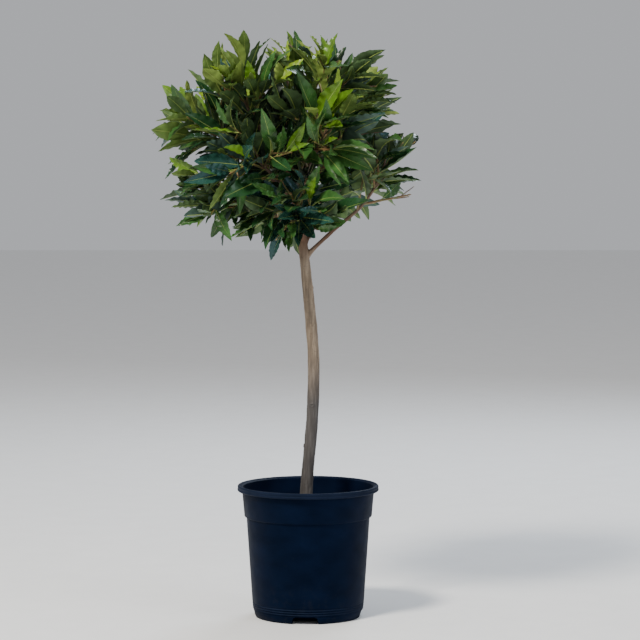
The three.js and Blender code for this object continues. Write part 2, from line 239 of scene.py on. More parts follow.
@dataclass(frozen=True)
class TrunkSizes:
    """The bare stem's line and thickness."""

    line: tuple[Triple, ...] = (
        (-5, 0, 143), (-0.6, 0, 212), (5.7, 1, 284), (8.2, 2, 368),
        (2.2, 2, 452), (-4.6, 1, 517), (-12, 2, 583), (-20, 3, 649),
    )
    foot_radius: float = 8.8
    tip_radius: float = 3.8
    taper: float = 3.6
    flare: float = 6.0
    flare_height: float = 15.0
    steps: int = 20
    halvings: int = 40

    @property
    def curve(self) -> SmoothLine:
        """Returns the stem's line."""
        return SmoothLine(np.array(self.line, float))

    def radius(self, t: float) -> float:
        """Gives the stem's thickness, with its flare.

        Args:
            t: the share of its line.

        Returns:
            The radius there.
        """
        height = t * (self.line[-1][2] - self.line[0][2])
        flare = self.flare * math.exp(-height / self.flare_height)
        return mixed(self.foot_radius, self.tip_radius, t**self.taper) + flare

    def at_height(self, height: float) -> Points:
        """Finds the point of the stem's line at a height, by halving.

        Args:
            height: the height.

        Returns:
            The point.
        """
        curve, low, high = self.curve, 0.0, 1.0
        for _ in range(self.halvings):
            middle = (low + high) / 2
            if curve.point(middle)[2] < height:
                low = middle
            else:
                high = middle
        return curve.point(low)


@dataclass(frozen=True)
class Mass:
    """One mass of foliage: its bough's foot and tip, and the tip of its leading twig.

    A place is a bearing from +X towards +Y, a reach from the trunk's line and a height.
    Leafiness thins the leaves that the solid has too, and fullness only the finer growth.
    """

    name: str
    height: float
    radius: float
    tip: Triple
    leader: Triple
    seed: int
    leafiness: float = 1.0
    fullness: float = 1.0


MASSES = (
    Mass("left", 603, 3.4, (190, 72, 667), (190, 138, 717), 378),
    Mass("upper_left", 625, 3.0, (212, 50, 699), (212, 96, 771), 337),
    Mass("top", 649, 0, (122, 0, 649), (122, 24, 785), 727, fullness=0.5),
    Mass("upper_right", 633, 2.9, (314, 40, 707), (314, 68, 779), 574, fullness=0.6),
    Mass("right", 591, 3.2, (8, 58, 677), (8, 88, 755), 777, fullness=0.25),
    Mass("low_right", 522, 3.3, (350, 76, 584), (350, 134, 667), 815, 0.6, 0.2),
    Mass("lower_left", 559, 3.2, (203, 54, 593), (203, 118, 605), 189),
    Mass("low_front", 548, 3.0, (270, 42, 573), (270, 102, 585), 396),
    Mass("front_left", 587, 3.0, (241, 50, 633), (241, 118, 669), 541),
    Mass("front_right", 603, 3.0, (294, 44, 647), (294, 116, 707), 24),
    Mass("back_left", 583, 3.1, (124, 58, 645), (124, 120, 707), 694),
    Mass("back_right", 615, 3.1, (66, 56, 671), (66, 124, 717), 152),
    Mass("back_low", 565, 3.0, (94, 50, 593), (94, 118, 613), 317),
    Mass("low_back_right", 539, 3.0, (48, 56, 589), (48, 112, 637), 595),
)


@dataclass(frozen=True)
class TwigSizes:
    """Sizes of the leading twigs and of their side twigs, and how finer ones keep clear."""

    lead_radii: Span = (2.5, 1.6)
    fine_scale: float = 0.84
    lead_steps: int = 4
    bend: float = 0.45
    middle: float = 0.72
    count: int = 6
    span: Span = (0.12, 0.86)
    length: Span = (48, 72)
    shortening: Span = (1.1, 0.75)
    angle: Span = (34, 62)
    jitter: float = 30
    lift: float = 0.3
    radii: Span = (1.9, 1.4)
    limb_gap: float = 4
    checks: int = 6
    inner_checks: int = 3
    tries: int = 12
    fine_clear_from: float = 0.12
    fine_near: float = 1.1


@dataclass(frozen=True)
class FineRow:
    """A row of fine twigs along a twig or a limb: their sizes, and the seeds that they draw on."""

    count: int = 2
    leaves: int = 4
    span: Span = (0.3, 1.02)
    length: Span = (22, 40)
    radii: Span = (1.1, 0.8)
    angle: Span = (34, 62)
    turn: float = 70
    tries: int = 7
    retry: float = 0.37
    stream: int = 4608
    seeds: tuple[int, int] = (8, 5000)


ON_TWIG, BARE_ON_TWIG = FineRow(), FineRow(leaves=0, length=(34, 62))
ON_BOUGH = FineRow(
    count=7, leaves=7, span=(0.25, 1.02), length=(28, 60), radii=(1.4, 0.9), angle=(40, 80),
    turn=0, tries=12, retry=0.31, stream=2048, seeds=(32, 9000),
)
ON_TRUNK = replace(ON_BOUGH, count=14, span=(0.775, 1.0))


@dataclass(frozen=True)
class LeafSizes:
    """Sizes of a leaf, and how a twig sets its leaves."""

    on_twig: int = 6
    on_lead: int = 8
    extra: int = 3
    rise: Span = (-0.1, 0.5)
    span: Span = (0.26, 1.04)
    length: Span = (60, 92)
    young_length: Span = (44, 60)
    young_from: float = 0.93
    lower_length: float = 0.88
    slimness: Span = (0.33, 0.4)
    lean: Span = (74, 24)
    jitter: float = 14
    outward: float = 0.22
    facing_stem: float = 0.9
    facing_up: float = 0.45
    facing_outward: float = 0.35
    roll: float = 0.4
    droop: Span = (0.04, 0.17)
    fold: float = 0.1
    thickness: float = 1.0
    nudge: float = 25
    tries: int = 11
    near: float = 0.64
    tip_gap: float = 5
    limb_gap: float = 4.7
    sections: tuple[Span, ...] = ((0.36, 0.94), (0.72, 0.74))
    stations: tuple[Span, ...] = (
        (0.28, 0.72), (0.4, 0.95), (0.52, 0.96), (0.64, 0.84), (0.76, 0.65), (0.88, 0.35), (1, 0),
    )
    across: tuple[float, ...] = (-1, -0.5, 0, 0.5, 1)
    faces: tuple[tuple[int, int, int], ...] = (
        (0, 2, 1), (0, 1, 3), (0, 3, 2), (1, 2, 5), (1, 5, 4), (1, 4, 6),
        (1, 6, 3), (2, 3, 6), (2, 6, 5), (4, 5, 7), (4, 7, 6), (5, 6, 7),
    )

    @property
    def edges(self) -> list[tuple[int, int]]:
        """Returns each edge of a leaf's plain solid once."""
        pairs = [p for a, b, c in self.faces for p in ((a, b), (b, c), (c, a))]
        return [(a, b) for a, b in pairs if a < b]


# The corners of a leaf's plain solid are its root, an inner section, an outer section and its tip
KEEL, OUTER, TIP = 3, 4, 7


@dataclass
class Leaf:
    """One leaf: its root, its directions and its sizes."""

    root: Points
    along: Points
    upper: Points
    side: Points
    length: float
    width: float
    droop: float
    corners: Points = field(default_factory=lambda: np.zeros((TIP + 1, 3)))
    seed: int = 0

    def line(self, t: float) -> Points:
        """Returns the point of the midrib at a share of the length."""
        sunk = self.droop * self.length * t * t
        return self.root + self.along * (self.length * t) - self.upper * sunk

    def surface(self, t: float, across: float, fullness: float, fold: float) -> Points:
        """Gives a point of the folded blade.

        Args:
            t: the share of the length.
            across: the place from one edge, -1, to the other, 1.
            fullness: the blade's share of its full half width there.
            fold: how far the edges rise, as a share of the width.

        Returns:
            The point.
        """
        half = 0.5 * self.width * fullness
        raised = self.upper * (abs(across) * fold * 2 * half)
        return self.line(t) + self.side * (across * half) + raised


@dataclass
class Shoot:
    """A twig with its leaves: its curve, its radii, and the seed and spin of its leaf spiral."""

    curve: Curve
    steps: int
    radii: Span
    seed: int
    spin: float
    count: int
    leaves: list[Leaf] = field(default_factory=list)
    fine: bool = False
    scale: float = 1.0

    def axis(self) -> Points:
        """Returns the short straight pieces of the twig's line, as pairs of ends."""
        points = self.curve.points(self.steps)
        return np.stack([points[:-1], points[1:]], axis=1)


def six_volumes(a: Points, b: Points, c: Points, d: Points) -> Points:
    """Gives six times the signed volume between four points.

    Args:
        a: the first points, as an array with the coordinates last.
        b: the second points.
        c: the third points.
        d: the fourth points.

    Returns:
        The volumes.
    """
    x, u, v = a - d, b - d, c - d
    return (
        x[..., 0] * (u[..., 1] * v[..., 2] - u[..., 2] * v[..., 1])
        + x[..., 1] * (u[..., 2] * v[..., 0] - u[..., 0] * v[..., 2])
        + x[..., 2] * (u[..., 0] * v[..., 1] - u[..., 1] * v[..., 0])
    )


def any_pierces(segments: Points, faces: Points) -> bool:
    """Tells if any segment goes through any face.

    Args:
        segments: pairs of ends, as an array of shape (n, 2, 3).
        faces: corners, as an array of shape (m, 3, 3).

    Returns:
        True where at least one does.
    """
    if not len(segments) or not len(faces):
        return False
    p, q, r = faces[:, 0], faces[:, 1], faces[:, 2]
    square = np.cross(q - p, r - p)
    level = (square * p).sum(axis=1)
    through = (segments[:, 0] @ square.T - level) * (segments[:, 1] @ square.T - level) < 0
    if not through.any():
        return False
    i, j = np.nonzero(through)
    start, end, p, q, r = segments[i, 0], segments[i, 1], p[j], q[j], r[j]
    turn = six_volumes(start, end, p, q)
    same = (turn * six_volumes(start, end, q, r) > 0) & (turn * six_volumes(start, end, r, p) > 0)
    return bool(same.any())


class Standing:
    """The leaves that stand already, which new growth keeps clear of."""

    room = 2400

    def __init__(self) -> None:
        """Starts with none."""
        self.corners = np.zeros((self.room, TIP + 1, 3))
        self.lengths = np.zeros(self.room)
        self.count = 0

    def add(self, leaf: Leaf) -> None:
        """Adds a leaf."""
        self.corners[self.count], self.lengths[self.count] = leaf.corners, leaf.length
        self.count += 1

    def near(self, middle: Points, length: float, share: float) -> Points:
        """Gives the leaves that stand within a share of their own and another length.

        Args:
            middle: the point that they are near to.
            length: the other length.
            share: the share.

        Returns:
            Their corners.
        """
        corners, lengths = self.corners[: self.count], self.lengths[: self.count]
        apart = np.linalg.norm(corners[:, KEEL] - middle, axis=1)
        return corners[apart <= share * (lengths + length)]


@dataclass
class Crown:
    """The head of the tree: it grows each mass in its own space, clear of every limb."""

    trunk: TrunkSizes = field(default_factory=TrunkSizes)
    twig: TwigSizes = field(default_factory=TwigSizes)
    leaf: LeafSizes = field(default_factory=LeafSizes)
    seat_gap: float = 0.3
    bough_steps: int = 4
    bough_arch: float = 0.05
    centre: Triple = (-26, 0, 685)
    reach: Triple = (202, 188, 170)
    squareness: float = 3
    cell_gap: float = 0.3
    reach_cone: float = 11
    heart: float = 78
    shoot_stride: int = 16
    leaf_stride: int = 64
    twig_stride: int = 4096
    trunk_seed: int = 7
    extra_from: int = 20

    def __post_init__(self) -> None:
        """Lays out the limbs and the space of each mass."""
        trunk_line = self.trunk.curve.points(self.trunk.steps)
        pieces = [
            (trunk_line[i], trunk_line[i + 1], self.trunk.radius(i / self.trunk.steps))
            for i in range(self.trunk.steps)
        ]
        for row in MASSES:
            if row.radius:
                line = self.bough_curve(row).points(self.bough_steps)
                pieces += [(a, b, row.radius) for a, b in zip(line[:-1], line[1:])]
        self.limb_from = np.array([p[0] for p in pieces])
        self.limb_run = np.array([p[1] for p in pieces]) - self.limb_from
        self.limb_radius = np.array([p[2] for p in pieces])
        self.middles = np.array([self.lead_curve(r).point(self.twig.middle) for r in MASSES])
        self.face_index = np.array(self.leaf.faces)
        self.edge_index = np.array(self.leaf.edges)
        self.samples = [(t, a, f) for t, f in self.leaf.stations for a in self.leaf.across]
        self.solid_ways = np.zeros((0, 3))
        self.solid_reach = np.zeros(0)

    def place(self, where: Triple) -> Points:
        """Finds a place about the trunk.

        Args:
            where: its bearing, its reach from the trunk's line and its height.

        Returns:
            The point.
        """
        bearing, reach, height = where
        turn = math.radians(bearing)
        foot = self.trunk.at_height(height)
        x, y = foot[0] + reach * math.cos(turn), foot[1] + reach * math.sin(turn)
        return np.array([x, y, height])

    def bough_curve(self, row: Mass) -> BentLine:
        """Lays out a mass's bough.

        Args:
            row: the mass.

        Returns:
            The bough's line.
        """
        base, tip = self.trunk.at_height(row.height), self.place(row.tip)
        arch = self.bough_arch * float(np.linalg.norm(tip - base))
        return BentLine(base, (base + tip) / 2 + UP * arch, tip)

    def lead_curve(self, row: Mass) -> BentLine:
        """Lays out a mass's leading twig, from the tip of its bough or of the trunk.

        Args:
            row: the mass.

        Returns:
            The twig's line.
        """
        limb = self.bough_curve(row) if row.radius else self.trunk.curve
        along = limb.tangent(1)
        start = limb.point(1) + along * self.seat_gap
        tip = self.place(row.leader)
        bend = start + along * (self.twig.bend * float(np.linalg.norm(tip - start)))
        return BentLine(start, bend, tip)

    def in_own_space(self, points: Points, number: int, margin: float) -> bool:
        """Tells if points lie in the crown and nearer to their mass's middle than to any other's.

        Args:
            points: the points, as an array of shape (n, 3).
            number: the mass's place in the list.
            margin: how far they keep from the space's sides.

        Returns:
            True where all of them do.
        """
        out = np.abs((points - np.array(self.centre)) / np.array(self.reach))
        if ((out**self.squareness).sum(axis=1) > 1).any():
            return False
        own = self.middles[number]
        others = np.delete(self.middles, number, axis=0)
        away = others - own
        beyond = ((points[:, None] - (own + others) / 2) * away).sum(axis=2)
        return bool((beyond / np.linalg.norm(away, axis=1) < -(margin + self.cell_gap)).all())

    def note_reach(self, standing: Standing) -> None:
        """Notes how far out the leaves of the solids reach, which finer growth stays within.

        Args:
            standing: those leaves.
        """
        outer = standing.corners[: standing.count, [0, OUTER, OUTER + 1, TIP]]
        off = outer.reshape(-1, 3) - np.array(self.centre)
        self.solid_reach = np.linalg.norm(off, axis=1)
        self.solid_ways = unit(off)

    def in_reach(self, points: Points) -> bool:
        """Tells if points lie no farther out than the solids' leaves about them.

        Args:
            points: the points, as an array of shape (n, 3).

        Returns:
            True where all of them do.
        """
        off = points - np.array(self.centre)
        alike = unit(off) @ self.solid_ways.T > math.cos(math.radians(self.reach_cone))
        limit = np.where(alike, self.solid_reach, 0).max(axis=1)
        return bool((np.linalg.norm(off, axis=1) < np.maximum(limit, self.heart)).all())

    def clear_of_limbs(self, points: Points, gap: float) -> bool:
        """Tells if points keep clear of the trunk and every bough.

        Args:
            points: the points, as an array of shape (n, 3).
            gap: how far they keep away.

        Returns:
            True where all of them do.
        """
        off = points[:, None] - self.limb_from
        share = (off * self.limb_run).sum(axis=2) / (self.limb_run**2).sum(axis=1)
        nearest = off - self.limb_run * np.clip(share, 0, 1)[..., None]
        return bool((np.linalg.norm(nearest, axis=2) > self.limb_radius + gap).all())

    def leaf_corners(self, leaf: Leaf) -> Points:
        """Gives the corners of a leaf's plain solid.

        Args:
            leaf: the leaf.

        Returns:
            Its root, the corners of its two sections and its tip.
        """
        corners = [leaf.root]
        for t, fullness in self.leaf.sections:
            corners.append(leaf.surface(t, 1, fullness, self.leaf.fold))
            corners.append(leaf.surface(t, -1, fullness, self.leaf.fold))
            corners.append(leaf.line(t) - leaf.upper * self.leaf.thickness)
        return np.array([*corners, leaf.line(1)])

    def try_leaf(
        self, shoot: Shoot, share: float, spin: float, rise: float, numbers: SeededNumbers
    ) -> Leaf:
        """Makes one try at a leaf on a twig.

        Args:
            shoot: the twig.
            share: the leaf's place from the twig's base to its tip.
            spin: its turn round the twig, in degrees.
            rise: how strongly it turns upwards.
            numbers: the stream that this place on the twig draws on.

        Returns:
            The leaf, not yet tested.
        """
        sizes = self.leaf
        root, source = shoot.curve.point(share), shoot.curve.tangent(share)
        turn = math.radians(spin + numbers.around(sizes.jitter))
        lean = math.radians(mixed(*sizes.lean, share) + numbers.around(sizes.jitter))
        outward = unit(root - np.array(self.centre))
        along = unit(branching(source, lean, turn) + outward * sizes.outward + UP * rise)
        upper = unit(
            square_to(source, along) * sizes.facing_stem
            + square_to(UP, along) * sizes.facing_up
            + square_to(outward, along) * sizes.facing_outward
        )
        roll = numbers.around(sizes.roll)
        upper = upper * math.cos(roll)
        upper = unit(upper + np.cross(upper, along) * math.tan(roll))
        side = np.cross(upper, along)
        young = share > sizes.young_from
        lengths = sizes.young_length if young else sizes.length
        length = numbers.within(*lengths) * mixed(sizes.lower_length, 1, share)
        length *= shoot.scale
        width = length * numbers.within(*sizes.slimness)
        return Leaf(root, along, upper, side, length, width, numbers.within(*sizes.droop))

    def leaf_fits(self, leaf: Leaf, number: int | None, standing: Standing, axes: Points) -> bool:
        """Tells if a leaf keeps to its space, clear of limbs, twigs and other leaves.

        Args:
            leaf: the leaf, whose corners this sets.
            number: the place in the list of the mass whose space it keeps to, or None for the
                whole head.
            standing: the leaves that stand already.
            axes: the lines of the other twigs, as pairs of ends.

        Returns:
            True where it fits.
        """
        leaf.corners = self.leaf_corners(leaf)
        if number is None:
            if not self.in_reach(leaf.corners[OUTER:]):
                return False
        elif not self.in_own_space(leaf.corners[1:], number, 0):
            return False
        fold = self.leaf.fold
        blade = np.array([leaf.surface(t, a, f, fold) for t, a, f in self.samples])
        if not self.clear_of_limbs(blade, self.leaf.limb_gap):
            return False
        faces = leaf.corners[self.face_index]
        if any_pierces(axes, faces):
            return False
        return self.clear_of_leaves(leaf, faces, standing)

    def clear_of_leaves(self, leaf: Leaf, faces: Points, standing: Standing) -> bool:
        """Tells if a leaf crosses no other and keeps its outer corners apart from theirs.

        Args:
            leaf: the leaf.
            faces: the faces of its plain solid.
            standing: the leaves that stand already.

        Returns:
            True where it does.
        """
        near = standing.near(leaf.corners[KEEL], leaf.length, self.leaf.near)
        if not len(near):
            return True
        apart = near[:, OUTER:, None] - leaf.corners[None, None, OUTER:]
        if np.linalg.norm(apart, axis=3).min() < self.leaf.tip_gap:
            return False
        edges = leaf.corners[self.edge_index]
        if any_pierces(edges, near[:, self.face_index].reshape(-1, 3, 3)):
            return False
        return not any_pierces(near[:, self.edge_index].reshape(-1, 2, 3), faces)

    def grow_leaves(
        self, shoot: Shoot, number: int | None, standing: Standing, everything: list[Shoot],
        total: int, first: int = 0,
    ) -> None:
        """Sets leaves in a spiral round a twig. One that fits nowhere is skipped.

        Args:
            shoot: the twig, which takes the leaves.
            number: the place in the list of the mass whose space they keep to, or None.
            standing: the leaves that stand already, which this adds to.
            everything: the twigs that they keep clear of, but for their own.
            total: how many places the spiral has.
            first: the number of the first leaf in the twig's count.
        """
        sizes, rise = self.leaf, 0.0
        axes = np.concatenate([s.axis() for s in everything if s is not shoot])
        if number is None:
            height = (shoot.curve.point(1)[2] - self.centre[2]) / self.reach[2]
            rise = mixed(*sizes.rise, 0.5 + 0.5 * height)
        for k in range(total):
            share = mixed(*sizes.span, (k + 0.5) / total)
            numbers = SeededNumbers(shoot.seed * self.leaf_stride + first + k)
            for i in range(sizes.tries):
                nudge = i * sizes.nudge * (1 if i % 2 else -1)
                spin = shoot.spin + (first + k) * GOLDEN_TURN + nudge
                leaf = self.try_leaf(shoot, share, spin, rise, numbers)
                if self.leaf_fits(leaf, number, standing, axes):
                    leaf.seed = shoot.seed * self.leaf_stride + first + k
                    standing.add(leaf)
                    shoot.leaves.append(leaf)
                    break

    def twig_fits(self, curve: Curve, number: int, radius: float) -> bool:
        """Tells if a twig keeps to its mass's space and clear of the limbs.

        Args:
            curve: its line.
            number: the mass's place in the list.
            radius: its radius.

        Returns:
            True where it does.
        """
        points = curve.points(self.twig.checks)[1:]
        return self.in_own_space(points, number, radius) and self.clear_of_limbs(
            points, radius + self.twig.limb_gap
        )

    def grow_twigs(self, lead: Shoot, number: int) -> list[Shoot]:
        """Sets side twigs in a spiral round the leading twig. One that fits nowhere is skipped.

        Args:
            lead: the leading twig.
            number: the mass's place in the list.

        Returns:
            The side twigs, with no leaves yet.
        """
        sizes, row, shoots = self.twig, MASSES[number], []
        count = int(math.floor(self.leaf.on_twig * row.leafiness + 0.5))
        for k in range(sizes.count):
            share = mixed(*sizes.span, k / (sizes.count - 1))
            numbers = SeededNumbers(row.seed * self.twig_stride + k)
            for _ in range(sizes.tries):
                turn = math.radians(lead.spin + k * GOLDEN_TURN + numbers.around(sizes.jitter))
                angle = math.radians(numbers.within(*sizes.angle))
                length = numbers.within(*sizes.length) * mixed(*sizes.shortening, share)
                start = lead.curve.point(share)
                along = unit(branching(lead.curve.tangent(share), angle, turn) + UP * sizes.lift)
                curve = StraightLine(start, start + along * length)
                if self.twig_fits(curve, number, sizes.radii[0]):
                    seed, spin = lead.seed + k + 1, 360 * numbers.next()
                    shoots.append(Shoot(curve, 1, sizes.radii, seed, spin, count))
                    break
        return shoots

    def twig_in_reach(self, curve: Curve, standing: Standing) -> bool:
        """Tells if a fine twig keeps within reach, clear of limbs and of leaves.

        Args:
            curve: its line.
            standing: the leaves that stand already.

        Returns:
            True where it does.
        """
        outer = curve.points(self.twig.checks)[self.twig.inner_checks :]
        if not (self.in_reach(outer) and self.clear_of_limbs(outer, self.twig.limb_gap)):
            return False
        near = standing.near(curve.point(0.5), 0, self.twig.fine_near)[:, self.face_index]
        line = np.array([[curve.point(self.twig.fine_clear_from), curve.point(1)]])
        return not any_pierces(line, near.reshape(-1, 3, 3))

    def grow_row(
        self, line: Curve, seed: int, spin: float, row: FineRow, share: float, standing: Standing
    ) -> list[Shoot]:
        """Sets a row of fine twigs on a twig or a limb, between the leaves that stand already.

        Args:
            line: the line of the twig or limb.
            seed: its seed.
            spin: where its spiral starts, in degrees.
            row: the row.
            share: the share of the row's full number of twigs.
            standing: the leaves that stand already.

        Returns:
            The fine twigs, with no leaves yet.
        """
        found, count = [], round(row.count * share)
        for k in range(count):
            place = min(1.0, mixed(*row.span, (k + 0.5) / count))
            numbers = SeededNumbers(seed * self.twig_stride + row.stream + k)
            start, source = line.point(place), line.tangent(place)
            for i in range(row.tries):
                turn = math.radians(spin + row.turn + (k + i * row.retry) * GOLDEN_TURN)
                angle = math.radians(numbers.within(*row.angle))
                way = branching(source, angle, turn) + UP * self.twig.lift
                curve = StraightLine(start, start + unit(way) * numbers.within(*row.length))
                if self.twig_in_reach(curve, standing):
                    own, spiral = seed * row.seeds[0] + row.seeds[1] + k, 360 * numbers.next()
                    twig = Shoot(curve, 1, row.radii, own, spiral, row.leaves, fine=True)
                    twig.scale = self.twig.fine_scale
                    found.append(twig)
                    break
        return found

    def grow_mass(self, number: int) -> list[Shoot]:
        """Grows one mass as its solid has it.

        Args:
            number: the mass's place in the list.

        Returns:
            Every twig with its leaves, the leading twig first.
        """
        row, standing = MASSES[number], Standing()
        spin = 360 * SeededNumbers(row.seed).next()
        count = int(math.floor(self.leaf.on_lead * row.leafiness + 0.5))
        curve, seed = self.lead_curve(row), row.seed * self.shoot_stride
        lead = Shoot(curve, self.twig.lead_steps, self.twig.lead_radii, seed, spin, count)
        shoots = [lead, *self.grow_twigs(lead, number)]
        for shoot in shoots:
            self.grow_leaves(shoot, number, standing, shoots, shoot.count)
        return shoots

    def grow_every_fine_twig(self, masses: list[list[Shoot]], standing: Standing) -> list[Shoot]:
        """Sets fine twigs on the twigs of each mass, on the trunk and on the boughs.

        Args:
            masses: the twigs of each mass.
            standing: the leaves that stand already.

        Returns:
            The fine twigs, with no leaves yet.
        """
        fine = []
        for mass, shoots in zip(MASSES, masses):
            rows = (ON_TWIG, mass.fullness), (BARE_ON_TWIG, 1 - mass.fullness)
            for twig in shoots:
                for row, share in rows:
                    fine += self.grow_row(twig.curve, twig.seed, twig.spin, row, share, standing)
        fine += self.grow_row(self.trunk.curve, self.trunk_seed, 0, ON_TRUNK, 1, standing)
        for mass in (m for m in MASSES if m.radius and m.leafiness == 1):
            bough = self.bough_curve(mass)
            fine += self.grow_row(bough, mass.seed, 0, ON_BOUGH, mass.fullness, standing)
        return fine

    def grow(self) -> list[Shoot]:
        """Grows the masses as their solids have them, then finer twigs and leaves all over.

        Returns:
            Every twig with its leaves.
        """
        masses = [self.grow_mass(number) for number in range(len(MASSES))]
        shoots, standing = [shoot for mass in masses for shoot in mass], Standing()
        for leaf in (leaf for shoot in shoots for leaf in shoot.leaves):
            standing.add(leaf)
        self.note_reach(standing)
        fine = self.grow_every_fine_twig(masses, standing)
        everything = shoots + fine
        for twig in fine:
            self.grow_leaves(twig, None, standing, everything, twig.count)
        for row, mass in zip(MASSES, masses):
            extra = round(self.leaf.extra * row.fullness)
            for shoot in mass:
                self.grow_leaves(shoot, None, standing, everything, extra, self.extra_from)
        return [twig for twig in everything if twig.leaves or not twig.count]


# Meshes

# How far the end points of a tube stand out from its first and last ring, in radii
TUBE_ENDS = (0.4, 0.6)


def even_turns(count: int) -> Points:
    """Returns the angles of a number of even steps round a full turn."""
    return np.arange(count) / count * FULL_TURN


def neighbours(count: int) -> tuple[Points, Points]:
    """Returns the number of each corner of a ring, and of the corner after each."""
    here = np.arange(count)
    return here, (here + 1) % count


def ring_faces(rings: int, sides: int, flipped: bool = False) -> Points:
    """Gives the four-sided faces between rings of corners that follow each other.

    Args:
        rings: how many rings there are.
        sides: how many corners each has.
        flipped: True where the faces look the other way.

    Returns:
        The faces, as rows of corner numbers.
    """
    here, after = neighbours(sides)
    low = np.arange(rings - 1)[:, None] * sides
    corners = [low + here, low + after, low + sides + after, low + sides + here]
    if flipped:
        corners[1:] = corners[:0:-1]
    return np.stack(corners, axis=2).reshape(-1, 4)


def halved(faces: Points) -> Points:
    """Returns the two triangles of each four-sided face, cut from its first corner."""
    return np.concatenate([faces[:, [0, 1, 2]], faces[:, [0, 2, 3]]])


@dataclass
class Gathered:
    """Points and faces, in millimetres, that are gathered into one mesh."""

    points: list[Points] = field(default_factory=list)
    faces: list[tuple[Points, int]] = field(default_factory=list)
    count: int = 0

    def add(self, points: Points, *faces: tuple[Points, int]) -> None:
        """Adds points, and faces over them with the number of their finish.

        Args:
            points: the corners, as an array of shape (n, 3).
            faces: arrays of corner numbers, each with the number of a finish.
        """
        self.points.append(points)
        self.faces += [(rows + self.count, finish) for rows, finish in faces if len(rows)]
        self.count += len(points)

    def add_rings(self, corners: Points, rings: int, flipped: bool = False) -> None:
        """Adds a closed skin over rings of corners.

        Args:
            corners: the corners of each ring, and then the two end corners.
            rings: how many rings there are.
            flipped: True where the faces look the other way.
        """
        sides = (len(corners) - 2) // rings
        here, after = neighbours(sides)
        order, last = slice(None, None, -1 if flipped else 1), (rings - 1) * sides
        first_end = [np.full(sides, rings * sides), *[after, here][order]]
        last_end = [np.full(sides, rings * sides + 1), *[last + here, last + after][order]]
        closing = (np.stack(first_end, 1), 0), (np.stack(last_end, 1), 0)
        self.add(corners, (ring_faces(rings, sides, flipped), 0), *closing)

    def add_tube(self, line: Points, radii: Points, sides: int) -> None:
        """Adds a closed tube along a line, with a point at each end.

        Args:
            line: the points that it follows.
            radii: the radius at each.
            sides: how many sides it has.
        """
        run = unit(np.gradient(line, axis=0))
        start = steady_axis(run[0])
        rings, turns = [], even_turns(sides)
        for centre, along, radius in zip(line, run, radii):
            start = unit(square_to(start, along))
            second = np.cross(along, start)
            spread = np.outer(np.cos(turns), start) + np.outer(np.sin(turns), second)
            rings.append(centre + radius * spread)
        first_end = line[0] - run[0] * radii[0] * TUBE_ENDS[0]
        last_end = line[-1] + run[-1] * radii[-1] * TUBE_ENDS[1]
        self.add_rings(np.concatenate([*rings, [first_end, last_end]]), len(line))

    def make(self, name: str, materials: Sequence[Material] = (), crease: float = 50) -> Piece:
        """Makes the mesh, smooth but for its creases.

        Args:
            name: the piece's name.
            materials: the materials that the faces' finishes number.
            crease: the angle over which an edge stays sharp, in degrees.

        Returns:
            The new object, in metres.
        """
        points = np.concatenate(self.points) * MM
        faces = [face for rows, _ in self.faces for face in rows.tolist()]
        finishes = np.concatenate([np.full(len(rows), finish) for rows, finish in self.faces])
        mesh = bpy.data.meshes.new(name)
        mesh.from_pydata(points.tolist(), [], faces)
        mesh.polygons.foreach_set("material_index", finishes.astype(np.int32))
        for material in materials:
            mesh.materials.append(material)
        mesh.validate()
        return linked(name, mesh, crease)


def linked(name: str, mesh: bpy.types.Mesh, crease: float) -> Piece:
    """Puts a mesh into the scene, smooth but for its creases.

    Args:
        name: the piece's name.
        mesh: the mesh.
        crease: the angle over which an edge stays sharp, in degrees.

    Returns:
        The new object.
    """
    mesh.polygons.foreach_set("use_smooth", np.ones(len(mesh.polygons), bool))
    mesh.set_sharp_from_angle(angle=math.radians(crease))
    piece = bpy.data.objects.new(name, mesh)
    bpy.context.scene.collection.objects.link(piece)
    return piece


def shaped(piece: Piece, kind: str, **settings: object) -> bpy.types.Mesh:
    """Gives the mesh that one modifier makes of a piece, which is then taken away.

    Args:
        piece: the object that is used up.
        kind: the modifier's kind.
        settings: the modifier's settings.

    Returns:
        The new mesh.
    """
    modifier = piece.modifiers.new(kind.lower(), kind)
    for key, value in settings.items():
        setattr(modifier, key, value)
    seen = piece.evaluated_get(bpy.context.evaluated_depsgraph_get())
    mesh = bpy.data.meshes.new_from_object(seen)
    bpy.data.objects.remove(piece)
    return mesh


def arc(middle: Span, radii: Span, degrees: Sequence[float]) -> list[Span]:
    """Gives the points of a round stretch of a profile.

    Args:
        middle: the middle's distance from the axis and its height.
        radii: the level radius and the upright one.
        degrees: how far up from level each point lies.

    Returns:
        The points.
    """
    return [
        (middle[0] + radii[0] * math.cos(turn), middle[1] + radii[1] * math.sin(turn))
        for turn in np.radians(degrees)
    ]


def turned(profile: Sequence[Span], segments: int) -> Gathered:
    """Turns a profile round the upright axis into a closed solid.

    Args:
        profile: radius and height of each corner, from the axis round to the axis.
        segments: how many steps the full turn has.

    Returns:
        The solid.
    """
    turns = even_turns(segments)
    rings = [
        np.stack([reach * np.cos(turns), reach * np.sin(turns), np.full(segments, height)], 1)
        for reach, height in profile[1:-1]
    ]
    ends = np.array([UP * profile[0][1], UP * profile[-1][1]])
    solid = Gathered()
    solid.add_rings(np.concatenate([*rings, ends]), len(rings))
    return solid


# Finishes


@dataclass(frozen=True)
class Cloud:
    """A cloudy pattern: the size of its patches, its finer levels and its stretch on each axis."""

    size: float
    detail: float = 3
    stretch: Triple = (1, 1, 1)


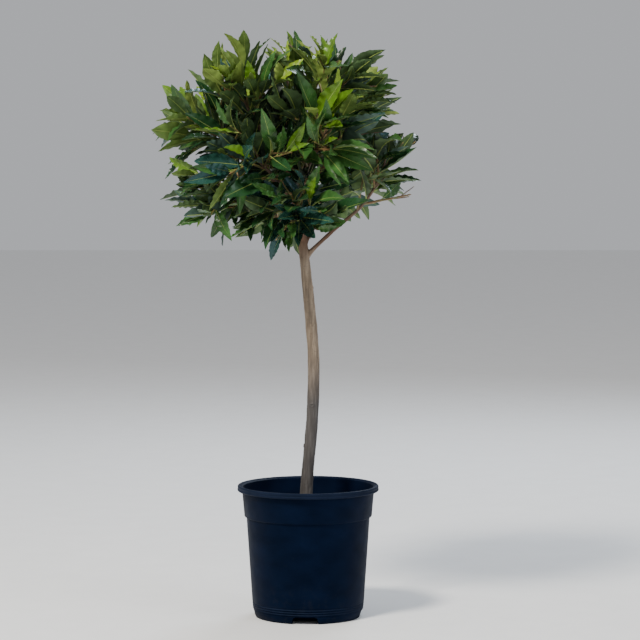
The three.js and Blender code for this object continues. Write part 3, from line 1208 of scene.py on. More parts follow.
class Shader:
    """A procedural material, built node by node on object coordinates, in millimetres."""

    mix_inputs = (0, 6, 7)
    mix_colour = 2

    def __init__(self, name: str, roughness: float, specular: float, tint: Colour = WHITE) -> None:
        """Starts a material.

        Args:
            name: the material's name.
            roughness: its roughness, where nothing else is linked.
            specular: its specular level.
            tint: the colour of its shine.
        """
        self.material = bpy.data.materials.new(name)
        self.material.use_nodes = True
        self.tree = self.material.node_tree
        self.surface = self.tree.nodes["Principled BSDF"]
        self.feed(self.surface.inputs["Roughness"], roughness)
        self.feed(self.surface.inputs["Specular IOR Level"], specular)
        self.feed(self.surface.inputs["Specular Tint"], tint)
        self.place = self.tree.nodes.new("ShaderNodeTexCoord").outputs["Object"]

    def feed(self, socket: Socket, value: object) -> None:
        """Links a socket to another, or sets its value.

        Args:
            socket: the socket.
            value: the other socket or the value. A tuple of three is an opaque colour.
        """
        if isinstance(value, Socket):
            self.tree.links.new(value, socket)
        else:
            socket.default_value = (*value, 1) if isinstance(value, tuple) else value

    def node(self, kind: str, **inputs: object) -> bpy.types.Node:
        """Adds a node and sets or links its inputs.

        Args:
            kind: the node's kind.
            inputs: a value or a socket for each input, by name.

        Returns:
            The node.
        """
        node = self.tree.nodes.new(kind)
        for key, value in inputs.items():
            self.feed(node.inputs[key.replace("_", " ")], value)
        return node

    def noise(self, cloud: Cloud) -> Socket:
        """Lays a cloudy pattern over the surface.

        Args:
            cloud: the pattern.

        Returns:
            The pattern's strength.
        """
        scale = [1 / MM / cloud.size / s for s in cloud.stretch]
        mapped = self.node("ShaderNodeMapping", Vector=self.place, Scale=scale).outputs[0]
        node = self.node("ShaderNodeTexNoise", Vector=mapped, Scale=1.0, Detail=cloud.detail)
        return node.outputs["Fac"]

    def height(self, low: float, high: float) -> Socket:
        """Gives a pattern that rises with height.

        Args:
            low: the height up to which it is 0.
            high: the height from which it is 1.

        Returns:
            The pattern's strength.
        """
        level = self.node("ShaderNodeSeparateXYZ", Vector=self.place).outputs["Z"]
        node = self.node("ShaderNodeMapRange", Value=level, From_Min=low * MM, From_Max=high * MM)
        return node.outputs["Result"]

    def maths(self, operation: str, first: object, second: object) -> Socket:
        """Works out a sum.

        Args:
            operation: the sum's kind.
            first: its first value or socket.
            second: its second one.

        Returns:
            The result.
        """
        node = self.tree.nodes.new("ShaderNodeMath")
        node.operation = operation
        self.feed(node.inputs[0], first)
        self.feed(node.inputs[1], second)
        return node.outputs[0]

    def ramp(self, source: Socket, stops: Sequence[tuple[float, Colour]]) -> Socket:
        """Gives the colours that a pattern's strength picks.

        Args:
            source: the pattern's strength.
            stops: the strengths and their colours.

        Returns:
            The colour.
        """
        node = self.node("ShaderNodeValToRGB", Fac=source)
        band = node.color_ramp.elements
        while len(band) < len(stops):
            band.new(0.5)
        for element, (place, colour) in zip(band, stops):
            element.position = place
            element.color = (*colour, 1)
        return node.outputs["Color"]

    def mask(self, source: Socket, places: Span, strength: float) -> Socket:
        """Returns nothing up to one strength of a pattern, rising to a full value at another."""
        return self.ramp(source, [(places[0], (0, 0, 0)), (places[1], (strength,) * 3)])

    def blend(self, share: object, first: object, second: object) -> Socket:
        """Mixes two colours.

        Args:
            share: the second colour's share, as a value or a socket.
            first: the first colour or socket.
            second: the second one.

        Returns:
            The mixed colour.
        """
        node = self.tree.nodes.new("ShaderNodeMix")
        node.data_type = "RGBA"
        for number, value in zip(self.mix_inputs, (share, first, second)):
            self.feed(node.inputs[number], value)
        return node.outputs[self.mix_colour]

    def colour(self, socket: Socket) -> None:
        """Links the surface's colour."""
        self.feed(self.surface.inputs["Base Color"], socket)

    def rough(self, source: Socket, low: float, high: float) -> None:
        """Lets a pattern vary the roughness between two values."""
        node = self.node("ShaderNodeMapRange", Value=source, To_Min=low, To_Max=high)
        self.feed(self.surface.inputs["Roughness"], node.outputs["Result"])

    def relief(self, source: Socket, depth: float, strength: float) -> None:
        """Lets a pattern raise the surface by a depth in millimetres."""
        node = self.node("ShaderNodeBump", Height=source, Distance=depth * MM, Strength=strength)
        self.feed(self.surface.inputs["Normal"], node.outputs["Normal"])


def shade(colour: Colour, factor: float) -> Colour:
    """Returns a colour made lighter or darker."""
    return tuple(min(1.0, c * factor) for c in colour)


@dataclass(frozen=True)
class LeafFinish:
    """The leathery surface of the leaves of one kind of spray."""

    name: str
    upper: Colour
    under: Colour
    vein: Colour
    roughness: float
    sheen: Colour = WHITE
    specular: float = 0.3
    cloud: Cloud = Cloud(19, 4)
    shades: tuple[Span, ...] = ((0.3, 0.6), (0.52, 1.0), (0.75, 1.45))
    gloss: Cloud = Cloud(9, 2)
    gloss_spread: Span = (-0.06, 0.12)
    dimples: Cloud = Cloud(3.0)
    dimple_depth: float = 0.3
    dimple_strength: float = 0.5
    under_rougher: float = 0.25
    vein_rougher: float = 0.05

    def side(self, side: str, colour: Colour, roughness: float) -> Material:
        """Makes the material of one side.

        Args:
            side: the side's name.
            colour: its colour.
            roughness: its roughness.

        Returns:
            The material.
        """
        shader = Shader(f"leaf_{self.name}_{side}", roughness, self.specular, self.sheen)
        stops = [(place, shade(colour, factor)) for place, factor in self.shades]
        shader.colour(shader.ramp(shader.noise(self.cloud), stops))
        smoother, rougher = self.gloss_spread
        shader.rough(shader.noise(self.gloss), roughness + smoother, roughness + rougher)
        shader.relief(shader.noise(self.dimples), self.dimple_depth, self.dimple_strength)
        return shader.material

    def materials(self) -> list[Material]:
        """Makes the leaf's materials.

        Returns:
            Those of the upper side, the underside and the side veins.
        """
        return [
            self.side("upper", self.upper, self.roughness),
            self.side("under", self.under, self.roughness + self.under_rougher),
            self.side("vein", self.vein, self.roughness + self.vein_rougher),
        ]


class Spray(Enum):
    """The kinds of spray, by the leaves that they bear."""

    # painted shade: the darkest leaves, dealt to the inside of the head where shade falls
    INNER_SHADE = LeafFinish(
        "inner", (0.006, 0.020, 0.006), (0.026, 0.048, 0.018), (0.012, 0.034, 0.010), 0.36
    )
    DEEP = LeafFinish(
        "deep", (0.011, 0.045, 0.013), (0.054, 0.098, 0.038), (0.036, 0.095, 0.026), 0.26
    )
    MID = LeafFinish(
        "mid", (0.030, 0.092, 0.018), (0.078, 0.136, 0.044), (0.078, 0.166, 0.034), 0.28
    )
    # painted reflection: bluish colours and a blue-tinted shine stand in for blue sky reflected on
    # glossy leaves
    SKY_SHEEN = LeafFinish(
        "sky_sheen", (0.013, 0.051, 0.036), (0.056, 0.100, 0.068), (0.040, 0.104, 0.066),
        roughness=0.24, sheen=(0.55, 0.78, 1.0), specular=0.5,
    )
    FRESH = LeafFinish(
        "fresh", (0.074, 0.156, 0.008), (0.118, 0.190, 0.040), (0.148, 0.250, 0.034), 0.31
    )
    YOUNG = LeafFinish(
        "young", (0.165, 0.262, 0.010), (0.200, 0.285, 0.055), (0.280, 0.370, 0.064), 0.34
    )


@dataclass(frozen=True)
class StalkFinish:
    """The smooth skin of stalks, ribs, buds and young twigs."""

    name: str
    colour: Colour
    tint: Colour
    roughness: float
    cloud: Cloud = Cloud(12, 4)
    specular: float = 0.4
    places: Span = (0.32, 0.62)
    grain: Cloud = Cloud(1.3)
    depth: float = 0.1
    strength: float = 0.5

    def material(self) -> Material:
        """Makes the material.

        Returns:
            The material.
        """
        shader = Shader(self.name, self.roughness, self.specular)
        stops = list(zip(self.places, (self.tint, self.colour)))
        shader.colour(shader.ramp(shader.noise(self.cloud), stops))
        shader.relief(shader.noise(self.grain), self.depth, self.strength)
        return shader.material


@dataclass(frozen=True)
class BarkFinish:
    """Smooth young bark with pale streaks and dark flecks: warm tan above, which is partly painted
    sunlight, and greyer and darker low on the stem, which is painted shade.
    """

    # the upper colours are the bark's own, lightened and warmed towards painted sunlight
    base: Colour = (0.265, 0.196, 0.132)
    pale: Colour = (0.450, 0.350, 0.250)
    # painted shade: the darker, greyer colours of the lower stem
    shaded_low_base: Colour = (0.064, 0.058, 0.055)
    shaded_low_pale: Colour = (0.125, 0.116, 0.110)
    dark: Colour = (0.050, 0.040, 0.032)
    young: Colour = (0.105, 0.058, 0.036)
    roughness: float = 0.82
    specular: float = 0.25
    # the heights over which the painted shade of the lower stem gives way to the upper colours
    painted_shade_end: Span = (310, 395)
    young_start: Span = (515, 548)
    streaks: Cloud = Cloud(3.2, 5, (1, 1, 9))
    streak_places: Triple = (0.28, 0.5, 0.74)
    groove: float = 0.58
    # patches that blend the bark towards the painted shade colour of the lower stem: partly random
    # tone, partly painted leaf shadow
    patches: Cloud = Cloud(34, 4, (1, 1, 2.2))
    patch_share: float = 0.7
    patch_shade: float = 1.1
    flecks: Cloud = Cloud(2.0, 5, (1.2, 1.2, 1.0))
    fleck_places: Span = (0.60, 0.74)
    fleck_strength: float = 0.7
    depth: float = 0.35
    strength: float = 0.7

    def streaked(self, shader: Shader, streaks: Socket, base: Colour, pale: Colour) -> Socket:
        """Returns the streaks in one pair of colours."""
        colours = shade(base, self.groove), base, pale
        return shader.ramp(streaks, list(zip(self.streak_places, colours)))

    def material(self) -> Material:
        """Makes the material.

        Returns:
            The material.
        """
        shader = Shader("bark", self.roughness, self.specular)
        patterns = self.streaks, self.patches, self.flecks
        streaks, patches, flecks = (shader.noise(cloud) for cloud in patterns)
        # the upper streaks are partly painted sunlight, the lower streaks painted shade, blended
        # by height
        upper = self.streaked(shader, streaks, self.base, self.pale)
        lower = self.streaked(shader, streaks, self.shaded_low_base, self.shaded_low_pale)
        body = shader.blend(shader.height(*self.painted_shade_end), lower, upper)
        # painted shade: cloudy patches pull the bark towards the shaded lower colour, like dappled
        # leaf shadow
        share = shader.maths("MULTIPLY", patches, self.patch_share)
        wear_and_painted_light = shader.blend(share, body, shade(self.shaded_low_base, self.patch_shade))
        spots = shader.mask(flecks, self.fleck_places, self.fleck_strength)
        marked = shader.blend(spots, wear_and_painted_light, self.dark)
        shader.colour(shader.blend(shader.height(*self.young_start), marked, self.young))
        shader.relief(shader.maths("ADD", streaks, flecks), self.depth, self.strength)
        return shader.material


@dataclass(frozen=True)
class PotFinish:
    """Black plastic with a blue sheen, which is a painted reflection of blue sky, faint scuffs and
    dust towards the foot.
    """

    name: str
    base: Colour = (0.0015, 0.0041, 0.0138)
    # painted reflection: the shine is tinted blue like blue sky reflected in it
    sheen: Colour = (0.30, 0.55, 1.0)
    dust: Colour = (0.022, 0.021, 0.024)
    roughness: float = 0.4
    specular: float = 0.05
    gloss: Cloud = Cloud(14, 4)
    gloss_limits: Span = (0.42, 0.66)
    cloud: Cloud = Cloud(45, 4, (1, 1, 0.6))
    shades: tuple[Span, ...] = ((0.3, 0.75), (0.7, 1.35))
    scuffs: Cloud = Cloud(2.4, 4, (6, 6, 1))
    scuff_places: Span = (0.66, 0.8)
    scuff_strength: float = 0.16
    dust_heights: Span = (4, 70)
    specks: Cloud = Cloud(7, 5)
    dust_places: Span = (0.5, 0.8)
    dust_strength: float = 0.3
    grain: Cloud = Cloud(0.9, 2)
    depth: float = 0.04
    strength: float = 0.5

    def material(self) -> Material:
        """Makes the material.

        Returns:
            The material.
        """
        shader = Shader(self.name, self.roughness, self.specular, self.sheen)
        stops = [(place, shade(self.base, factor)) for place, factor in self.shades]
        body = shader.ramp(shader.noise(self.cloud), stops)
        low = shader.maths("SUBTRACT", 1.0, shader.height(*self.dust_heights))
        specks = shader.mask(shader.noise(self.specks), self.dust_places, self.dust_strength)
        marks = shader.mask(shader.noise(self.scuffs), self.scuff_places, self.scuff_strength)
        dusty = shader.maths("MAXIMUM", shader.maths("MULTIPLY", low, specks), marks)
        shader.colour(shader.blend(dusty, body, self.dust))
        shader.rough(shader.noise(self.gloss), *self.gloss_limits)
        shader.relief(shader.noise(self.grain), self.depth, self.strength)
        return shader.material


@dataclass(frozen=True)
class GrainFinish:
    """A loose, crumbly stuff in two colours."""

    name: str
    light: Colour
    dark: Colour
    grain: float
    roughness: float = 0.95
    specular: float = 0.2
    detail: float = 5
    places: Span = (0.35, 0.65)
    depth: float = 0.3
    strength: float = 0.8

    def material(self) -> Material:
        """Makes the material.

        Returns:
            The material.
        """
        shader = Shader(self.name, self.roughness, self.specular)
        cloud = shader.noise(Cloud(self.grain, self.detail))
        shader.colour(shader.ramp(cloud, list(zip(self.places, (self.dark, self.light)))))
        shader.relief(cloud, self.grain * self.depth, self.strength)
        return shader.material


# The leafy head


@dataclass(frozen=True)
class BladeHabit:
    """Limits of the waves, turns and outline of a blade, in the order in which they are drawn."""

    wave: Span = (0.7, 1.8)
    waves: Span = (4.2, 7.2)
    right_start: Span = (0, 6.28)
    left_start: Span = (0, 6.28)
    twist: Span = (-0.5, 0.5)
    curl: Span = (-0.08, 0.08)
    fold: Span = (0.12, 0.34)
    arch: Span = (-0.05, 0.10)
    belly: Span = (0.76, 1.1)
    tip_power: Span = (0.62, 1.12)
    half_width: Span = (0.34, 0.46)


@dataclass
class Blades:
    """The blades of many leaves at once, as arrays, with the waves and twist of the real leaf."""

    leaves: Sequence[Leaf]
    habit: BladeHabit = BladeHabit()
    petiole: float = 0.085
    seam: float = 0.01
    base_power: float = 1.15
    edge_power: float = 2.2
    fold_power: float = 1.4
    wave_fade: float = 0.6
    crinkle: float = 0.042
    crinkle_pace: float = 1.6
    across: tuple[float, ...] = (-1, -0.62, 0, 0.62, 1)
    rows: int = 24
    half_thickness: float = 0.25
    crowding: float = 0.12
    vein_pairs: int = 6
    vein_roots: Span = (0.12, 0.68)
    vein_steps: Triple = (0, 0.075, 0.125)
    vein_across: Triple = (0.02, 0.62, 0.86)
    vein_breadths: Triple = (0.0056, 0.0040, 0.0014)
    vein_lifts: tuple[float, ...] = (-0.08, -0.08, 0.12, -0.08, -0.08, 0.12, 0.0, 0.0, 0.2)
    rib_sides: int = 5
    rib_turn: float = 0.3
    rib_lift: float = -0.05
    rib_rings: int = 13
    rib_end: float = 0.93
    stalk_rings: Triple = (0.0, 0.03, 0.06)
    rib_places: tuple[float, ...] = (0, 0.05, 0.12, 0.93)
    rib_radii: tuple[float, ...] = (1.1, 1.0, 0.95, 0.36)
    usual_length: float = 75
    rib_scales: Span = (0.6, 1.1)

    def __post_init__(self) -> None:
        """Lays out the leaves' directions, sizes and own small irregularities."""
        self.root, self.along, self.upper, self.side, self.length, self.droop, width = (
            np.array([getattr(leaf, name) for leaf in self.leaves])[:, None]
            for name in ("root", "along", "upper", "side", "length", "droop", "width")
        )
        streams = [Stream.BLADE.numbers(leaf.seed) for leaf in self.leaves]
        drawn = np.array([[own.within(*span) for span in astuple(self.habit)] for own in streams])
        *self.ways, self.belly, self.tip_power, half_width = drawn.T[:, :, None]
        self.half = width * half_width

    def fullness(self, s: Points) -> Points:
        """Returns the share of the full half width along the blade."""
        s = np.clip(s, 0, 1)
        return np.sin(np.pi * s**self.belly).clip(0) ** mixed(self.base_power, self.tip_power, s)

    def surface(self, t: Points, across: Points, lift: Points) -> Points:
        """Gives points of every blade at the same places.

        Args:
            t: shares of the length, as an array of m.
            across: places from edge to edge, -1 to 1, as an array of m.
            lift: how far above the blade's middle layer, in millimetres, as an array of m.

        Returns:
            The points, as an array of shape (leaves, m, 3).
        """
        wave, waves, right, left, twist, curl, fold, arch = self.ways
        s, edge = (t - self.petiole) / (1 - self.petiole), np.abs(across) ** self.edge_power
        start = np.where(across > 0, right, left)
        fade = np.sin(np.pi * np.clip(s, 0, 1)) ** self.wave_fade
        ripple = wave * edge * np.sin(2 * np.pi * waves * t + start) * fade
        crinkle = self.crinkle * edge * np.sin(2 * np.pi * waves * self.crinkle_pace * t + start)
        half = self.half * self.fullness(s) * (1 + crinkle)
        turn = (twist * t)[..., None]
        side = self.side * np.cos(turn) + self.upper * np.sin(turn)
        upper = self.upper * np.cos(turn) - self.side * np.sin(turn)
        rise = np.abs(across) ** self.fold_power * fold * 2 * half
        sag = self.droop * self.length * t * t - arch * self.length * np.sin(np.pi * t)
        line = self.root + self.along * (self.length * t)[..., None] - self.upper * sag[..., None]
        line = line + self.side * (curl * self.length * t * t)[..., None]
        return line + side * (across * half)[..., None] + upper * (rise + ripple + lift)[..., None]

    def spread(self, gathered: Gathered, corners: Points, *faces: tuple[Points, int]) -> None:
        """Adds the same faces for each leaf.

        Args:
            gathered: where they go.
            corners: the corners of each leaf, as an array of shape (leaves, m, 3).
            faces: one leaf's faces, each array with the number of its finish.
        """
        steps = (np.arange(len(corners)) * corners.shape[1])[:, None, None]
        rows = [((f[None] + steps).reshape(-1, f.shape[1]), finish) for f, finish in faces]
        gathered.add(corners.reshape(-1, 3), *rows)

    def sheets(self, gathered: Gathered) -> None:
        """Adds each blade as a closed sheet that thins towards its edge.

        Args:
            gathered: where the faces go, upper side as finish 0 and underside as finish 1.
        """
        back = self.across[-2:0:-1]
        ring = np.concatenate([self.across, back])
        layer = np.concatenate([1 - np.abs(self.across) ** 3, -(1 - np.abs(back) ** 3)])
        way = np.linspace(0, 1, self.rows + 1)[1:-1]
        way = way - self.crowding * np.sin(2 * np.pi * way) / np.pi
        t, around = self.petiole + (1 - self.petiole) * way, len(ring)
        lift = np.tile(layer * self.half_thickness, len(t))
        body = self.surface(np.repeat(t, around), np.tile(ring, len(t)), lift)
        ends = self.surface(np.array([self.petiole - self.seam, 1.0]), np.zeros(2), np.zeros(2))
        here, after = neighbours(around)
        upper, base, last = here < len(self.across) - 1, len(t) * around, (len(t) - 1) * around
        low = np.arange(len(t) - 1)[:, None] * around
        corners = low + here, low + around + here, low + around + after, low + after
        cells = np.stack(corners, axis=2)
        over = halved(cells[:, upper].reshape(-1, 4))
        under = halved(np.roll(cells[:, ~upper].reshape(-1, 4), 1, axis=1))
        foot = np.stack([np.full(around, base), here, after], 1)
        tip = np.stack([last + here, np.full(around, base + 1), last + after], 1)
        sides = (over, 0), (under, 1)
        closing = (foot[upper], 0), (foot[~upper], 1), (tip[upper], 0), (tip[~upper], 1)
        self.spread(gathered, np.concatenate([body, ends], axis=1), *sides, *closing)

    def veins(self, gathered: Gathered) -> None:
        """Adds the side veins, each a thin ridge that runs forward to the edge.

        Args:
            gathered: where the faces go, as finish 2.
        """
        faces, caps = ring_faces(3, 3, flipped=True), np.array([[1, 2, 0], [8, 7, 6]])
        first_root, run = self.vein_roots
        for way in (-1, 1):
            across = np.repeat(way * np.array(self.vein_across), 3)
            lift = self.half_thickness * (1 - np.abs(across) ** 3) + self.vein_lifts
            for k in range(self.vein_pairs):
                root = first_root + run * k / (self.vein_pairs - 1)
                t = self.petiole + (1 - self.petiole) * root + np.array(self.vein_steps)
                t = np.stack([t - self.vein_breadths, t + self.vein_breadths, t], 1).ravel()
                skin = (faces[:, ::-way], 2), (caps[:, ::-way], 2)
                self.spread(gathered, self.surface(t, across, lift), *skin)

    def ribs(self, gathered: Gathered) -> None:
        """Adds each leaf's stalk, which runs on as the midrib of the blade.

        Args:
            gathered: where the faces go.
        """
        count, sides = self.rib_rings, self.rib_sides
        blade = np.linspace(self.petiole + self.seam, self.rib_end, count - len(self.stalk_rings))
        t = np.concatenate([self.stalk_rings, blade])
        line = self.surface(t, np.zeros(count), np.full(count, self.rib_lift))
        run = unit(np.gradient(line, axis=1))
        first = unit(np.cross(run, self.upper))
        second = np.cross(first, run)
        scale = np.clip(self.length / self.usual_length, *self.rib_scales)
        thick = np.interp(t, self.rib_places, self.rib_radii) * scale
        turns = (even_turns(sides) + self.rib_turn)[:, None]
        ring = first[:, :, None] * np.cos(turns) + second[:, :, None] * np.sin(turns)
        corners = (line[:, :, None] + ring * thick[..., None, None]).reshape(len(line), -1, 3)
        here, last = np.arange(sides)[None], (count - 1) * sides
        skin = ring_faces(count, sides, flipped=True)
        self.spread(gathered, corners, (skin, 0), (here, 0), (last + here[:, ::-1], 0))


@dataclass
class Head:
    """The leafy head: blades by kind of spray, stalks and ribs, twigs and buds."""

    crown: Crown = field(default_factory=Crown)
    outward_light: float = 0.55
    upward_light: float = 0.42
    twig_light: float = 0.28
    leaf_light: float = 0.2
    deep_share: float = 0.58
    mid_share: float = 0.99
    kind_spread: float = 0.3
    fresh_from: Span = (0.45, 0.558)
    young_from: Span = (0.66, 0.6944)
    blade_middle: float = 0.6
    # how far out from the head's middle the painted shade of the innermost leaves reaches
    inner_reach: float = 0.5
    inner_spread: float = 0.08
    steps: tuple[int, int] = (14, 6)
    sides: tuple[int, int] = (8, 6)
    zigzag: float = 0.35
    tip_taper: float = 0.85
    swelling: float = 0.35
    swelling_length: float = 2.6
    seat_depth: float = 3
    tip_buds: Span = (4.5, 7.5)
    fine_bud: float = 0.7
    side_bud: float = 2.6
    side_bud_place: Span = (1.4, 1.2)
    bud_profile: tuple[Span, ...] = ((-0.1, 0.11), (0.2, 0.20), (0.5, 0.19), (0.95, 0.03))
    bud_sides: int = 5
    brown: StalkFinish = StalkFinish(
        "twig_brown", (0.150, 0.092, 0.058), (0.080, 0.052, 0.034), 0.7
    )
    red: StalkFinish = StalkFinish("twig_young", (0.190, 0.105, 0.045), (0.120, 0.135, 0.040), 0.5)
    bud: StalkFinish = StalkFinish(
        "bud_skin", (0.230, 0.210, 0.060), (0.200, 0.095, 0.045), 0.5, Cloud(4, 4)
    )
    rib: StalkFinish = StalkFinish("leaf_rib", (0.300, 0.370, 0.090), (0.190, 0.270, 0.055), 0.45)
    leaf_crease: float = 70

    def outwardness(self, point: Points) -> Points:
        """Returns how far out a point lies along each axis, as shares of the head's reach."""
        return (point - np.array(self.crown.centre)) / np.array(self.crown.reach)

    def pick_spray(
        self, leaf: Leaf, shoot: Shoot, light: float, first: float, own: SeededNumbers
    ) -> Spray:
        """Picks the kind of spray that a leaf belongs to.

        Args:
            leaf: the leaf.
            shoot: its twig.
            light: how much light its twig gets.
            first: its twig's place among the darker kinds.
            own: the stream that its twig draws on.

        Returns:
            The kind.
        """
        kind = first + self.kind_spread * own.next()
        glow = light + own.around(self.leaf_light)
        # leaves near the middle of the head take the painted shade
        inner = self.inner_reach + own.around(self.inner_spread)
        if float(np.linalg.norm(self.outwardness(leaf.line(self.blade_middle)))) < inner:
            return Spray.INNER_SHADE
        foot, tip = shoot.curve.point(0), shoot.curve.point(1)
        share = float((leaf.root - foot) @ shoot.curve.tangent(0.5))
        share /= float(np.linalg.norm(tip - foot))
        bright = (Spray.YOUNG, self.young_from), (Spray.FRESH, self.fresh_from)
        for spray, (place, least) in bright:
            if share > place and glow > least:
                return spray
        if kind < self.deep_share:
            return Spray.DEEP
        # the remaining share takes the painted reflection of blue sky
        return Spray.MID if kind < self.mid_share else Spray.SKY_SHEEN

    def sort_sprays(self, shoots: list[Shoot]) -> dict[Spray, list[Leaf]]:
        """Deals the leaves out by spray: young ones towards the light, and the darkest ones,
        painted shade, inside.

        Args:
            shoots: the twigs.

        Returns:
            The leaves of each kind of spray.
        """
        dealt: dict[Spray, list[Leaf]] = {spray: [] for spray in Spray}
        for shoot in shoots:
            own = Stream.SPRAY.numbers(shoot.seed)
            tip = self.outwardness(shoot.curve.point(1))
            light = float(np.linalg.norm(tip)) * self.outward_light
            light += float(tip[2]) * self.upward_light
            light, first = light + own.around(self.twig_light), own.next()
            for leaf in shoot.leaves:
                dealt[self.pick_spray(leaf, shoot, light, first, own)].append(leaf)
        return dealt

    def twig_line(self, shoot: Shoot) -> tuple[Points, Points]:
        """Gives a twig's line and radii, with a slight zigzag and a swelling at each leaf.

        Args:
            shoot: the twig.

        Returns:
            The points and the radius at each.
        """
        steps, own = self.steps[shoot.fine], Stream.LINE.numbers(shoot.seed)
        line = shoot.curve.points(steps)
        sway = np.array([[own.around(self.zigzag) for _ in range(3)] for _ in line])
        line[1:-1] += sway[1:-1]
        thick, thin = shoot.radii
        radii = mixed(thick, thin * self.tip_taper, np.linspace(0, 1, steps + 1))
        for leaf in shoot.leaves:
            near = np.linalg.norm(line - leaf.root, axis=1)
            radii = radii + self.swelling * np.exp(-((near / self.swelling_length) ** 2))
        if shoot.steps > 1:
            line[0] -= shoot.curve.tangent(0) * self.seat_depth
        return line, radii

    def build_twigs(self, shoots: list[Shoot]) -> list[Piece]:
        """Builds the brown twigs, the young reddish ones and the buds.

        Args:
            shoots: the twigs.

        Returns:
            The three pieces.
        """
        old, young, buds = Gathered(), Gathered(), Gathered()
        over, ahead = self.side_bud_place
        for shoot in shoots:
            wood = old if shoot.steps > 1 or not shoot.leaves else young
            wood.add_tube(*self.twig_line(shoot), self.sides[shoot.fine])
            length = Stream.BUDS.numbers(shoot.seed).within(*self.tip_buds)
            length *= self.fine_bud if shoot.fine else 1
            self.add_bud(buds, shoot.curve.point(1), shoot.curve.tangent(1), length)
            for leaf in shoot.leaves:
                root = leaf.root + leaf.upper * over + leaf.along * ahead
                self.add_bud(buds, root, unit(leaf.along + leaf.upper), self.side_bud)
        return [
            old.make("twigs_leading", [self.brown.material()]),
            young.make("twigs_side", [self.red.material()]),
            buds.make("buds", [self.bud.material()]),
        ]

    def add_bud(self, gathered: Gathered, root: Points, run: Points, length: float) -> None:
        """Adds one pointed bud.

        Args:
            gathered: where it goes.
            root: where it sits.
            run: the way it points.
            length: its length.
        """
        places, radii = np.array(self.bud_profile).T
        gathered.add_tube(root + np.outer(places * length, run), length * radii, self.bud_sides)

    def build(self) -> list[Piece]:
        """Builds every piece of the head.

        Returns:
            The pieces.
        """
        shoots = self.crown.grow()
        pieces, ribs = self.build_twigs(shoots), Gathered()
        for spray, leaves in self.sort_sprays(shoots).items():
            blades, sheet = Blades(leaves), Gathered()
            blades.sheets(sheet)
            blades.veins(sheet)
            blades.ribs(ribs)
            finish = spray.value
            piece = sheet.make(f"leaves_{finish.name}", finish.materials(), self.leaf_crease)
            pieces.append(piece)
            LOG.info("%s: %d leaves", piece.name, len(leaves))
        pieces.append(ribs.make("leaf_ribs", [self.rib.material()]))
        for piece in pieces:
            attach(piece, "root")
        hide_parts(*[f"foliage_{row.name}" for row in MASSES])
        return pieces


# Trunk, boughs, pot and compost


@dataclass(frozen=True)
class Scar:
    """The mark of a lost twig on the trunk: its height, its bearing in degrees and its size."""

    height: float
    bearing: float
    size: float


